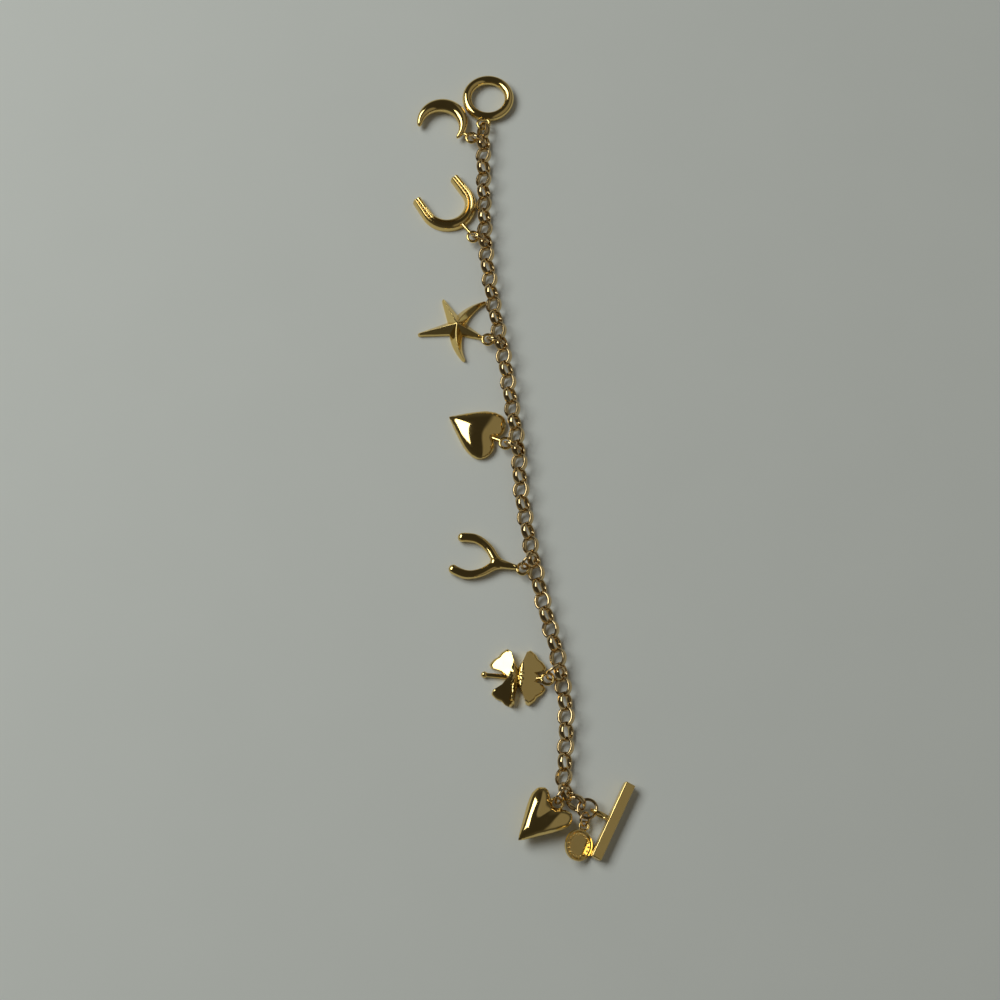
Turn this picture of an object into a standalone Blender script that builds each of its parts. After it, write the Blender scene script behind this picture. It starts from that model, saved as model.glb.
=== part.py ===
"""Charm bracelet with a toggle clasp, lying open on a table.

A rolo chain runs from the ring of the clasp to its bar. Seven cast charms and a round tag hang
from it on jump rings, and everything lies to the left of the chain, as it was put down.
Metres, +Z up, the table at Z = 0, the chain running down -Y from the ring to the bar.
"""

import math

import bmesh
import bpy
from mathutils import Matrix, Vector

MM = 0.001
UP = Vector((0.0, 0.0, 1.0))

# Colours and finish of the gold plating
GOLD = (0.72, 0.50, 0.17, 1.0)
GOLD_ROUGHNESS = 0.18

# Gap between pieces that touch in the real bracelet
PLAY = 0.28 * MM

# Chain: oval links of half-flat wire, every other one leaning the other way
LINK_WIRE = 0.6 * MM
LINK_BAND = 1.35 * MM
LINK_WIDTH = 4.1 * MM
LINK_PITCH = 3.41 * MM
LINK_BITE = 0.08 * MM
LINK_COUNT = 51
LINK_SEGMENTS = 10
STEEP_LEAN = math.radians(53.0)
LOW_LEAN = math.radians(-37.0)
END_LEAN = math.radians(-53.0)

# Route of the chain on the table, from the ring of the clasp to its bar, in millimetres
CHAIN_ROUTE = [
    (-4.1, 98.3), (-4.05, 85.8), (-3.9, 76.6), (-3.3, 62.4), (-1.3, 47.7), (1.06, 34.7),
    (2.7, 23.1), (4.3, 12.0), (4.8, 1.8), (6.95, -11.6), (9.7, -25.3), (13.0, -38.4),
    (14.6, -50.8), (14.2, -62.7), (13.9, -68.9), (17.0, -71.3), (20.8, -73.3), (24.6, -75.3),
]

# Jump rings, all of one wire
JUMP_RADIUS = 2.0 * MM
JUMP_WIRE = 0.68 * MM
JUMP_SEGMENTS = 12
WIRE_SIDES = 6

# How far down and up inside a jump ring its link and its charm sit, as shares of its free radius
LINK_SEAT = 0.9
EYE_SEAT = 0.8

# Eyes of the charms
EYE_RADIUS = 1.3 * MM
EYE_WIRE = 0.68 * MM
STEM_RADIUS = 0.42 * MM

# How far the neck of an eye reaches into its charm, and into the cleft of a heart
NECK_BITE = 0.8 * MM
CLEFT_BITE = 1.2 * MM

# Toggle clasp
TOGGLE_RADIUS = 5.25 * MM
TOGGLE_TUBE = 2.3 * MM
TOGGLE_EYE_RADIUS = 1.45 * MM
TOGGLE_EYE_WIRE = 0.7 * MM
TOGGLE_HEADING = math.radians(81.5)
SOLDER_BITE = 0.15 * MM
CLASP_SLACK = 0.6 * MM
END_RING_RADIUS = 2.05 * MM
END_RING_WIRE = 0.7 * MM
BAR_LENGTH = 18.1 * MM
BAR_SIDE = 2.35 * MM
BAR_ROLL = math.radians(15.0)
BAR_EDGE = 0.28 * MM
BAR_EYE_RADIUS = 1.45 * MM
BAR_EYE_WIRE = 0.76 * MM
BAR_EYE_STRETCH = 0.6 * MM
BAR_EYE_SEAT = 0.5
BAR_HEADING = math.radians(-25.5)

# Crescent moon
CRESCENT_OUTER = 6.3 * MM
CRESCENT_INNER = 4.59 * MM
CRESCENT_OFFSET = 1.79 * MM
CRESCENT_HEIGHT = 3.1 * MM
CRESCENT_TIP = math.radians(62.0)
CRESCENT_ROUND = math.radians(4.0)
CRESCENT_OPENING = math.radians(107.0)
CRESCENT_REACH = 2.4 * MM

# Horseshoe: a U of bar, wide at the toe, with two rims and a groove between them
SHOE_INNER_RADIUS = 4.3 * MM
SHOE_LEG = 4.9 * MM
SHOE_TOE_WIDTH = 3.1 * MM
SHOE_TIP_WIDTH = 2.4 * MM
SHOE_HEIGHT = 1.9 * MM
SHOE_GROOVE_DEPTH = 0.35 * MM
SHOE_REACH = 4.1 * MM
NAIL_COUNT = 7
NAIL_RADIUS = 0.26 * MM
NAIL_HEIGHT = 0.42 * MM
NAIL_PITCH = 0.85 * MM

# Starfish
STAR_PEAK = 3.4 * MM
STAR_WALL = 1.0 * MM
STAR_TIP_HEIGHT = 1.3 * MM
STAR_WAIST = 2.1 * MM
STAR_TIP_WIDTH = 0.75 * MM
STAR_REACH = 8.2 * MM

# Flat heart
FLAT_HEART_LENGTH = 13.1 * MM
FLAT_HEART_WIDTH = 12.3 * MM
FLAT_HEART_RIM = 0.7 * MM
FLAT_HEART_DOME = 1.9 * MM
FLAT_HEART_REACH = 3.6 * MM

# Wishbone
BONE_THICKNESS = 2.1 * MM
BONE_LENGTH = 10.5 * MM
BONE_SPREAD = 8.9 * MM
BONE_STEM = 4.3 * MM
BONE_REACH = 1.3 * MM

# Clover
LEAF_RADIUS = 6.9 * MM
LEAF_SPREAD = math.radians(56.0)
LEAF_WALL = 0.9 * MM
LEAF_TOP = 1.9 * MM
LEAF_BEVEL = 0.8 * MM
LEAF_JOIN = 5.6 * MM
CLOVER_STEM_LENGTH = 7.4 * MM
CLOVER_STEM_RADIUS = 0.5 * MM
CLOVER_BALL_RADIUS = 0.75 * MM
CLOVER_REACH = 6.8 * MM

# Puffed heart
PUFFED_HEART_LENGTH = 12.3 * MM
PUFFED_HEART_WIDTH = 10.8 * MM
PUFFED_HEART_THICKNESS = 5.2 * MM
PUFFED_HEART_REACH = 1.5 * MM

# Round tag
TAG_RADIUS = 3.4 * MM
TAG_THICKNESS = 0.8 * MM
TAG_RIM = 0.35 * MM
TAG_RIM_HEIGHT = 0.2 * MM
TAG_BEADS = 16
TAG_BEAD_RADIUS = 0.24 * MM
TAG_BEAD_HEIGHT = 0.3 * MM
TAG_TILT = math.radians(-33.0)
TAG_HEADING = math.radians(-109.0)
TAG_RING_RADIUS = 1.45 * MM
TAG_RING_WIRE = 0.55 * MM
TAG_RING_LEAN = math.radians(35.0)
TAG_EYE_RADIUS = 0.95 * MM
TAG_EYE_WIRE = 0.5 * MM
TAG_NECK_RADIUS = 0.32 * MM

# Where each charm hangs: on which of the steep links, the turn of its jump ring from square to
# the chain, the ring's lean, the way the charm lies and how far its body starts from its eye
HANGINGS = {
    #               steep  turn   lean  heading  reach
    "crescent":     (0,    -28.0, -10.0,  147.0,  CRESCENT_REACH),
    "horseshoe":    (4,    -26.0, -15.0,  124.0,  SHOE_REACH),
    "starfish":     (8,    -28.0, -10.0,  153.0,  STAR_REACH),
    "flat_heart":   (12,   -30.0, -12.0,  152.0,  FLAT_HEART_REACH),
    "wishbone":     (16,    30.0,  15.0,  165.0,  BONE_REACH),
    "clover":       (20,    10.0,  25.0,  175.0,  CLOVER_REACH),
    "puffed_heart": (24,    25.0,  15.0, -136.0,  PUFFED_HEART_REACH),
}


def wipe():
    for ob in list(bpy.data.objects):
        bpy.data.objects.remove(ob, do_unlink=True)


def gold_material(name):
    material = bpy.data.materials.new(name)
    material.use_nodes = True
    shader = material.node_tree.nodes["Principled BSDF"]
    shader.inputs["Base Color"].default_value = GOLD
    shader.inputs["Metallic"].default_value = 1.0
    shader.inputs["Roughness"].default_value = GOLD_ROUGHNESS
    return material


def mesh_object(name, mesh):
    ob = bpy.data.objects.new(name, mesh)
    bpy.context.scene.collection.objects.link(ob)
    return ob


def along(angle):
    return Vector((math.cos(angle), math.sin(angle), 0.0))


def frame(x_axis, y_axis, origin):
    """The matrix that lays local X and Y on two square axes at an origin."""
    z_axis = x_axis.cross(y_axis)
    turn = Matrix((x_axis, y_axis, z_axis)).transposed().to_4x4()
    return Matrix.Translation(origin) @ turn


def wire_ring(radius, wire, segments=JUMP_SEGMENTS, sides=WIRE_SIDES, stretch=0.0, band=None):
    """A ring of wire in the XY plane, drawn out along X by the stretch, as deep as its band."""
    bpy.ops.mesh.primitive_torus_add(
        major_segments=segments, minor_segments=sides, major_radius=radius, minor_radius=wire / 2)
    ob = bpy.context.object
    for vertex in ob.data.vertices:
        vertex.co.x += stretch * vertex.co.x / vertex.co.xy.length
        vertex.co.z *= (band or wire) / wire
    return ob


def tube(points, radii):
    """A round bar of changing thickness along a line of points, closed at both ends."""
    curve = bpy.data.curves.new("tube", "CURVE")
    curve.dimensions = "3D"
    curve.bevel_depth = 1.0
    curve.bevel_resolution = 2
    curve.use_fill_caps = True
    spline = curve.splines.new("POLY")
    spline.points.add(len(points) - 1)
    for slot, point, radius in zip(spline.points, points, radii):
        slot.co = (*point, 1.0)
        slot.radius = radius
    ob = mesh_object("tube", curve)
    bpy.context.view_layer.update()
    mesh = bpy.data.meshes.new_from_object(ob.evaluated_get(bpy.context.evaluated_depsgraph_get()))
    bpy.data.objects.remove(ob, do_unlink=True)
    weld = bmesh.new()
    weld.from_mesh(mesh)
    bmesh.ops.remove_doubles(weld, verts=weld.verts, dist=0.001 * MM)
    bmesh.ops.recalc_face_normals(weld, faces=weld.faces)
    weld.to_mesh(mesh)
    weld.free()
    return mesh_object("tube", mesh)


def loft(rings, closed=False):
    """A solid through rings of as many points each; an end ring may be one single point."""
    shape = bmesh.new()
    rows = [[shape.verts.new(point) for point in ring] for ring in rings]
    pairs = list(zip(rows, rows[1:]))
    if closed:
        pairs.append((rows[-1], rows[0]))
    for low, high in pairs:
        count = max(len(low), len(high))
        for i in range(count):
            j = (i + 1) % count
            if len(low) == 1:
                shape.faces.new((low[0], high[j], high[i]))
            elif len(high) == 1:
                shape.faces.new((low[i], low[j], high[0]))
            else:
                shape.faces.new((low[i], low[j], high[j], high[i]))
    if not closed:
        for row in (rows[0], rows[-1]):
            if len(row) > 2:
                shape.faces.new(row)
    bmesh.ops.recalc_face_normals(shape, faces=shape.faces)
    mesh = bpy.data.meshes.new("loft")
    shape.to_mesh(mesh)
    shape.free()
    return mesh_object("loft", mesh)


def stud(radius, height, place, sides=6):
    """A small round boss with a narrower top, standing at a place."""
    shape = bmesh.new()
    bmesh.ops.create_cone(shape, cap_ends=True, segments=sides, radius1=radius,
                          radius2=0.55 * radius, depth=height)
    mesh = bpy.data.meshes.new("stud")
    shape.to_mesh(mesh)
    shape.free()
    mesh.transform(Matrix.Translation(place))
    return mesh_object("stud", mesh)


def knob(radius, place):
    """A small ball at a place."""
    shape = bmesh.new()
    bmesh.ops.create_uvsphere(shape, u_segments=10, v_segments=6, radius=radius)
    mesh = bpy.data.meshes.new("knob")
    shape.to_mesh(mesh)
    shape.free()
    mesh.transform(Matrix.Translation(place))
    return mesh_object("knob", mesh)


def join(pieces):
    """Loose pieces as one mesh, still without a union."""
    shape = bmesh.new()
    for piece in pieces:
        piece.data.transform(piece.matrix_world)
        shape.from_mesh(piece.data)
        bpy.data.objects.remove(piece, do_unlink=True)
    mesh = bpy.data.meshes.new("joined")
    shape.to_mesh(mesh)
    shape.free()
    return mesh_object("joined", mesh)


def fuse(pieces):
    """One solid body out of pieces that reach into each other."""
    base = pieces[0]
    for other in pieces[1:]:
        union = base.modifiers.new("fuse", "BOOLEAN")
        union.operation = "UNION"
        union.solver = "EXACT"
        union.object = other
    bpy.context.view_layer.update()
    mesh = bpy.data.meshes.new_from_object(
        base.evaluated_get(bpy.context.evaluated_depsgraph_get()))
    mesh.transform(base.matrix_world)
    for piece in pieces:
        bpy.data.objects.remove(piece, do_unlink=True)
    return mesh_object("fused", mesh)


def smooth_line(points, per_span):
    """Catmull-Rom curve through points, as many steps in every span."""
    ends = [2 * points[0] - points[1]] + points + [2 * points[-1] - points[-2]]
    line = []
    for a, b, c, d in zip(ends, ends[1:], ends[2:], ends[3:]):
        for step in range(per_span):
            t = step / per_span
            line.append(0.5 * (2 * b + (c - a) * t + (2 * a - 5 * b + 4 * c - d) * t * t
                               + (3 * b - a - 3 * c + d) * t ** 3))
    line.append(points[-1])
    return line


# Chain

def chain_contacts():
    """Where each link meets the next: points a pitch apart along the smooth route."""
    line = smooth_line([Vector((x, y, 0.0)) * MM for x, y in CHAIN_ROUTE], 40)
    contacts = [line[0]]
    for a, b in zip(line, line[1:]):
        while (b - contacts[-1]).length >= LINK_PITCH and len(contacts) <= LINK_COUNT:
            low, high = 0.0, 1.0
            for _ in range(30):
                middle = (low + high) / 2
                if (a.lerp(b, middle) - contacts[-1]).length < LINK_PITCH:
                    low = middle
                else:
                    high = middle
            contacts.append(a.lerp(b, high))
    while len(contacts) <= LINK_COUNT:
        run = (line[-1] - line[-2]).normalized()
        contacts.append(contacts[-1] + LINK_PITCH * run)
    return contacts


def chain_height():
    """Height of the links' middles, with the steep ones standing on the table."""
    wire_foot = math.hypot(LINK_WIRE / 2 * math.sin(STEEP_LEAN), LINK_BAND / 2 * math.cos(STEEP_LEAN))
    return math.sin(STEEP_LEAN) * (LINK_WIDTH - LINK_WIRE) / 2 + wire_foot


def link_frames():
    """For each link its middle, its long axis and its cross axis on the charms' side."""
    contacts = chain_contacts()
    frames = []
    for i, (start, end) in enumerate(zip(contacts, contacts[1:])):
        run = (end - start).normalized()
        side = run.cross(UP)
        lean = STEEP_LEAN if i % 2 else LOW_LEAN
        if i in (0, LINK_COUNT - 1):
            lean = END_LEAN
        cross = math.cos(lean) * side + math.sin(lean) * UP
        frames.append(((start + end) / 2 + chain_height() * UP, run, cross))
    return frames


def chain(frames):
    across = (LINK_WIDTH - LINK_WIRE) / 2
    lengthwise = (LINK_PITCH - LINK_BITE + LINK_WIRE) / 2
    sets = ([], [])
    for i, (middle, run, cross) in enumerate(frames):
        link = wire_ring(across, LINK_WIRE, LINK_SEGMENTS, stretch=lengthwise - across,
                         band=LINK_BAND)
        link.matrix_world = frame(run, cross, middle)
        sets[i % 2].append(link)
    bpy.context.view_layer.update()
    return fuse([join(sets[0]), join(sets[1])])


# Hanging on jump rings

def hang(side_wire, side, turn, lean, wire, radius, ring_wire, eye_wire):
    """A jump ring round a wire: its matrix, the way it points and the place of the eye's wire.

    The ring stands near upright, leaning along the wire, as low as the table and its seat on the
    wire let it. The eye's wire lies low in the ring, on the side away from the wire.
    """
    out = Matrix.Rotation(turn, 3, "Z") @ side
    rise = math.cos(lean) * UP + math.sin(lean) * out.cross(UP)
    on_wire = radius - (ring_wire + wire) / 2 - PLAY
    on_eye = radius - (ring_wire + eye_wire) / 2 - PLAY
    standing = radius * math.cos(lean) + ring_wire / 2
    height = max(standing, side_wire.z - LINK_SEAT * on_wire * math.cos(lean))
    up_to_wire = (side_wire.z - height) / math.cos(lean)
    centre = side_wire + math.sqrt(on_wire ** 2 - up_to_wire ** 2) * out - up_to_wire * rise
    run = side.cross(UP)
    inner = centre - radius * out
    centre -= (inner - side_wire).dot(run) / 2 * run
    eye = centre + on_eye * (math.sqrt(1 - EYE_SEAT ** 2) * out - EYE_SEAT * rise)
    return frame(out, rise, centre), eye, out


def charm_eye(height):
    """The flat eye at the charm's origin."""
    eye = wire_ring(EYE_RADIUS, EYE_WIRE)
    eye.location.z = height
    return eye


def stem(height, reach, end_height):
    """The short neck between the eye's wire and a point inside the charm's body."""
    start = Vector((EYE_RADIUS, 0.0, height))
    return tube([start, Vector((reach, 0.0, end_height))], [STEM_RADIUS, STEM_RADIUS])


# Charms, each in its own frame: the eye's middle over the origin, the body along +X, the table at 0

def crescent_section(angle, share=1.0, sides=8):
    """An oval across the moon at an angle from the middle of its opening, or a share of it."""
    shift = CRESCENT_OFFSET
    inside = shift * math.cos(angle) + math.sqrt(
        CRESCENT_INNER ** 2 - (shift * math.sin(angle)) ** 2)
    thickest = CRESCENT_OUTER - CRESCENT_INNER + CRESCENT_OFFSET
    width = CRESCENT_OUTER - inside
    height = CRESCENT_HEIGHT * (width / thickest) ** 0.75
    middle = (CRESCENT_OUTER + inside) / 2
    way = along(angle + CRESCENT_OPENING)
    ring = []
    for k in range(sides):
        t = math.tau * k / sides
        ring.append((middle + share * width / 2 * math.cos(t)) * way
                    + (CRESCENT_HEIGHT / 2 + share * height / 2 * math.sin(t)) * UP)
    return ring


def crescent(height, reach):
    steps = 20
    sweep = math.tau - 2 * CRESCENT_TIP
    rings = [crescent_section(CRESCENT_TIP + sweep * i / steps) for i in range(steps + 1)]
    first_tip = crescent_section(CRESCENT_TIP - CRESCENT_ROUND, 0.55)
    last_tip = crescent_section(CRESCENT_TIP + sweep + CRESCENT_ROUND, 0.55)
    moon = loft([first_tip, *rings, last_tip])
    moon.location.x = CRESCENT_OUTER + reach
    return fuse([moon, charm_eye(height), stem(height, reach + NECK_BITE, CRESCENT_HEIGHT / 2)])


def shoe_line(steps):
    """Inner edge of the U from one tip round the toe to the other, with its outward way."""
    half_turn = math.pi * SHOE_INNER_RADIUS
    whole = half_turn + 2 * SHOE_LEG
    line = []
    for i in range(steps + 1):
        s = whole * i / steps
        if s < SHOE_LEG:
            point, out = Vector((SHOE_LEG - s, -SHOE_INNER_RADIUS, 0.0)), Vector((0, -1, 0))
        elif s > SHOE_LEG + half_turn:
            point = Vector((s - SHOE_LEG - half_turn, SHOE_INNER_RADIUS, 0.0))
            out = Vector((0, 1, 0))
        else:
            out = along(-math.pi / 2 - (s - SHOE_LEG) / SHOE_INNER_RADIUS)
            point = SHOE_INNER_RADIUS * out
        share = abs(2 * i / steps - 1)
        line.append((point, out, SHOE_TOE_WIDTH + (SHOE_TIP_WIDTH - SHOE_TOE_WIDTH) * share))
    return line


# Section of the bar from its inner foot over the rims: shares of its width and of its height
SHOE_SECTION = [
    #  width  height
    (0.00, 0.00), (0.00, 0.45), (0.22, 1.00), (0.36, 1.00), (0.42, 0.82),
    (0.58, 0.82), (0.64, 1.00), (0.78, 1.00), (1.00, 0.45), (1.00, 0.00),
]


def horseshoe(height, reach):
    steps = 22
    rings = []
    for point, out, width in shoe_line(steps):
        rings.append([point + w * width * out + h * SHOE_HEIGHT * UP for w, h in SHOE_SECTION])
    shoe = loft(rings)
    centre = reach + SHOE_TOE_WIDTH + SHOE_INNER_RADIUS
    pieces = [shoe]
    floor = SHOE_HEIGHT - SHOE_GROOVE_DEPTH
    for side in (-1, 1):
        across = side * (SHOE_INNER_RADIUS + SHOE_TIP_WIDTH / 2)
        pieces.append(stud(0.3 * SHOE_TIP_WIDTH, 1.3 * NAIL_HEIGHT,
                           Vector((SHOE_LEG - 0.25 * SHOE_TIP_WIDTH, across, floor)), 8))
        for k in range(NAIL_COUNT):
            x = SHOE_LEG - SHOE_TIP_WIDTH * 0.75 - k * NAIL_PITCH
            place = Vector((x, across, floor))
            pieces.append(stud(NAIL_RADIUS, NAIL_HEIGHT, place))
    for piece in pieces:
        piece.location.x += centre
    bpy.context.view_layer.update()
    return fuse([pieces[0], join(pieces[1:]), charm_eye(height),
                 stem(height, reach + NECK_BITE, SHOE_HEIGHT * 0.45)])


# Arms of the starfish: way in its own frame, length, bend to the left
STAR_ARMS = [
    #  way     length    bend
    (182.0,    6.8 * MM,  0.0),
    (251.7,    9.5 * MM,  0.10),
    (322.7,    8.1 * MM,  0.0),
    (38.7,     9.6 * MM,  0.0),
    (128.2,    9.0 * MM,  -0.10),
]


def star_arm(way, length, bend, steps=5):
    """A roof-shaped arm from the middle of the star to its tip."""
    heading = math.radians(way)
    run, left = along(heading), along(heading + math.pi / 2)
    rings = []
    for i in range(steps + 1):
        t = i / steps
        half = (STAR_WAIST + (STAR_TIP_WIDTH / 2 - STAR_WAIST) * t ** 0.9)
        ridge = STAR_PEAK + (STAR_TIP_HEIGHT - STAR_PEAK) * t ** 0.8
        wall = STAR_WALL * (1 - 0.2 * t)
        middle = t * length * run + bend * length * 4 * t * (1 - t) * left
        rings.append([middle - half * left, middle - 0.92 * half * left + wall * UP,
                      middle + ridge * UP, middle + 0.92 * half * left + wall * UP,
                      middle + half * left])
    return loft(rings)


def starfish(height, reach):
    arms = [star_arm(*arm) for arm in STAR_ARMS]
    for arm in arms:
        arm.location.x = reach
    bpy.context.view_layer.update()
    arm_reach = STAR_ARMS[0][1] - NECK_BITE
    return fuse([*arms, charm_eye(height), stem(height, reach - arm_reach, STAR_WALL)])


# Half of each heart's outline from the cleft to the tip: shares of its length and half width
FLAT_HEART_OUTLINE = [
    #  length  half width
    (0.13, 0.00), (0.03, 0.20), (0.00, 0.48), (0.06, 0.83),
    (0.22, 1.00), (0.46, 0.86), (0.72, 0.48), (0.92, 0.14),
]
PUFFED_HEART_OUTLINE = [
    #  length  half width
    (0.17, 0.00), (0.09, 0.24), (0.02, 0.52), (0.00, 0.74),
    (0.09, 0.96), (0.24, 0.98), (0.46, 0.76), (0.70, 0.44), (0.91, 0.15),
]


def heart_line(outline, length, width, per_span=2):
    """The heart's outline as one ring, its lobes at X = 0 and its tip at +X."""
    half = [Vector((x * length, y * width / 2, 0.0)) for x, y in outline]
    half.append(Vector((length, 0.0, 0.0)))
    upper = smooth_line(half, per_span)
    lower = [Vector((p.x, -p.y, 0.0)) for p in reversed(upper[1:-1])]
    return upper + lower


def domed(outline, crown, levels):
    """Rings of an outline drawn in towards its crown: shares of the outline and heights."""
    rings = []
    for share, height in levels:
        if share == 0.0:
            rings.append([crown + height * UP])
        else:
            rings.append([crown + share * (p - crown) + height * UP for p in outline])
    return rings


def flat_heart(height, reach):
    outline = heart_line(FLAT_HEART_OUTLINE, FLAT_HEART_LENGTH, FLAT_HEART_WIDTH)
    crown = Vector((0.42 * FLAT_HEART_LENGTH, 0.0, 0.0))
    levels = [(0.0, 0.0), (1.0, 0.0), (1.0, FLAT_HEART_RIM)]
    for share in (0.86, 0.6, 0.3, 0.0):
        levels.append((share, FLAT_HEART_RIM + FLAT_HEART_DOME * math.sqrt(1 - share ** 2)))
    heart = loft(domed(outline, crown, levels))
    heart.location.x = reach - FLAT_HEART_OUTLINE[0][0] * FLAT_HEART_LENGTH
    bpy.context.view_layer.update()
    return fuse([heart, charm_eye(height), stem(height, reach + CLEFT_BITE, FLAT_HEART_RIM)])


def puffed_heart(height, reach):
    outline = heart_line(PUFFED_HEART_OUTLINE, PUFFED_HEART_LENGTH, PUFFED_HEART_WIDTH)
    crown = Vector((0.40 * PUFFED_HEART_LENGTH, 0.0, 0.0))
    middle = PUFFED_HEART_THICKNESS / 2
    levels = [(0.0, 0.0)]
    for k in range(1, 8):
        t = math.pi * k / 8
        levels.append((math.sin(t) ** 0.8, middle - middle * math.cos(t)))
    levels.append((0.0, PUFFED_HEART_THICKNESS))
    heart = loft(domed(outline, crown, levels))
    heart.location.x = reach - PUFFED_HEART_OUTLINE[0][0] * PUFFED_HEART_LENGTH
    bpy.context.view_layer.update()
    return fuse([heart, charm_eye(height), stem(height, reach + CLEFT_BITE, middle)])


# One arm of the wishbone from its root to its tip: shares of its length, its spread and its bar
BONE_ARM = [
    #  length  spread  bar
    (-0.05, 0.02, 1.00), (0.10, 0.20, 1.00), (0.28, 0.62, 0.95), (0.48, 0.90, 0.95),
    (0.66, 1.00, 1.00), (0.84, 0.95, 1.00), (0.96, 0.86, 0.90), (1.00, 0.82, 0.45),
]


def wishbone(height, reach):
    middle = BONE_THICKNESS / 2
    root = reach + BONE_STEM
    neck = [Vector((EYE_RADIUS, 0, height)), Vector((reach + 0.4 * BONE_STEM, 0, middle * 1.3)),
            Vector((root, 0, middle * 1.12)), Vector((root + 0.1 * BONE_LENGTH, 0, middle * 1.12))]
    shares = (0.5, 0.75, 1.1, 1.1)
    pieces = [tube(neck, [share * middle for share in shares])]
    for side in (-1, 1):
        points = [Vector((root + x * BONE_LENGTH, side * y * BONE_SPREAD / 2, middle))
                  for x, y, _ in BONE_ARM]
        line = smooth_line(points, 2)
        radii = smooth_line([Vector((bar * middle, 0.0, 0.0)) for _, _, bar in BONE_ARM], 2)
        pieces.append(tube(line, [r.x for r in radii]))
    return fuse([*pieces, charm_eye(height)])


# A leaf of the clover, from one side to the other: shares of half its spread and of its radius
LEAF_EDGE = [
    #  turn   radius
    (-1.00, 0.62), (-0.98, 0.92), (-0.80, 1.00), (-0.40, 0.98), (0.00, 0.93),
    (0.40, 0.98), (0.80, 1.00), (0.98, 0.92), (1.00, 0.62),
]

# Leaves of the clover: way each one points and how deep the notch after it comes to the middle
LEAVES = [
    #  way    notch
    (61.0,   1.9 * MM),
    (139.5,  LEAF_JOIN),
    (226.0,  1.9 * MM),
    (316.5,  2.2 * MM),
]


def clover_rings():
    """The four leaves as one outline: its foot, its wall and the crest of the sloping edge."""
    foot, crest = [], []
    for (way, notch), (next_way, _) in zip(LEAVES, LEAVES[1:] + LEAVES[:1]):
        heading = math.radians(way)
        for turn, share in LEAF_EDGE:
            foot.append(share * LEAF_RADIUS * along(heading + turn * LEAF_SPREAD / 2))
            inner = LEAF_BEVEL * (0.5 + 0.5 * abs(turn))
            narrow = turn * (LEAF_SPREAD / 2 - LEAF_BEVEL / LEAF_RADIUS)
            crest.append((share * LEAF_RADIUS - inner) * along(heading + narrow) + LEAF_TOP * UP)
        valley = along(heading + math.radians((next_way - way) % 360.0) / 2)
        foot.append(notch * valley)
        crest.append(0.7 * notch * valley + LEAF_WALL * UP)
    wall = [p + LEAF_WALL * 0.8 * UP for p in foot]
    return [foot, wall, crest, [LEAF_WALL * UP]]


def clover(height, reach):
    leaves = loft(clover_rings())
    middle = 0.75 * LEAF_WALL
    line = [Vector((0, 0, middle)), Vector((CLOVER_STEM_LENGTH, 0, middle))]
    stalk = tube(line, [CLOVER_STEM_RADIUS, CLOVER_STEM_RADIUS])
    ball = knob(CLOVER_BALL_RADIUS, line[1] + (CLOVER_BALL_RADIUS - middle) * UP)
    for piece in (leaves, stalk, ball):
        piece.location.x += reach
    bpy.context.view_layer.update()
    return fuse([leaves, stalk, ball, charm_eye(height),
                 stem(height, reach - 0.6 * LEAF_JOIN, middle)])


CHARMS = {
    "crescent": crescent, "horseshoe": horseshoe, "starfish": starfish, "flat_heart": flat_heart,
    "wishbone": wishbone, "clover": clover, "puffed_heart": puffed_heart,
}


def hung_charms(frames):
    """Every charm and its jump ring, placed on its link."""
    made = {}
    across = (LINK_WIDTH - LINK_WIRE) / 2
    steep_links = frames[1::2]
    for name, (steep, turn, lean, heading, reach) in HANGINGS.items():
        middle, run, cross = steep_links[steep]
        ring_place, eye_wire, out = hang(
            middle + across * cross, run.cross(UP), math.radians(turn), math.radians(lean),
            LINK_BAND, JUMP_RADIUS, JUMP_WIRE, EYE_WIRE)
        ring = wire_ring(JUMP_RADIUS, JUMP_WIRE)
        ring.matrix_world = ring_place
        way = along(math.radians(heading))
        charm = CHARMS[name](eye_wire.z, reach)
        eye_middle = eye_wire + EYE_RADIUS * out
        charm.matrix_world = frame(way, UP.cross(way), Vector((eye_middle.x, eye_middle.y, 0.0)))
        made[name + "_jump_ring"] = ring
        made[name + "_charm"] = charm
    return made


# Clasp

def clasp(frames):
    middle, run, _ = frames[0]
    inner_end = (LINK_PITCH - LINK_BITE) / 2
    to_wire = inner_end - CLASP_SLACK - TOGGLE_EYE_WIRE / 2
    eye_middle = middle - (to_wire + TOGGLE_EYE_RADIUS) * run
    eye_height = chain_height()
    eye = wire_ring(TOGGLE_EYE_RADIUS, TOGGLE_EYE_WIRE)
    eye.location = (eye_middle.x, eye_middle.y, eye_height)
    ring = wire_ring(TOGGLE_RADIUS, TOGGLE_TUBE, 24, 10)
    centre_distance = TOGGLE_RADIUS + TOGGLE_TUBE / 2 + TOGGLE_EYE_RADIUS - SOLDER_BITE
    ring_middle = eye_middle + centre_distance * along(TOGGLE_HEADING)
    ring.location = (ring_middle.x, ring_middle.y, TOGGLE_TUBE / 2)

    middle, run, _ = frames[-1]
    to_wire = inner_end - CLASP_SLACK - END_RING_WIRE / 2
    end_middle = middle + (to_wire + END_RING_RADIUS) * run
    end_middle.z = bar_eye_height() - BAR_EYE_SEAT * bar_eye_play()
    end_ring = wire_ring(END_RING_RADIUS, END_RING_WIRE, 16)
    end_ring.location = end_middle
    bpy.context.view_layer.update()
    return {"toggle_ring": fuse([ring, eye]), "toggle_jump_ring": end_ring,
            "toggle_bar": toggle_bar(end_middle)}, end_middle


def bar_eye_reach():
    """From the bar's axis to the middle of its eye."""
    return BAR_SIDE / 2 + BAR_EYE_RADIUS + BAR_EYE_STRETCH - SOLDER_BITE


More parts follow.
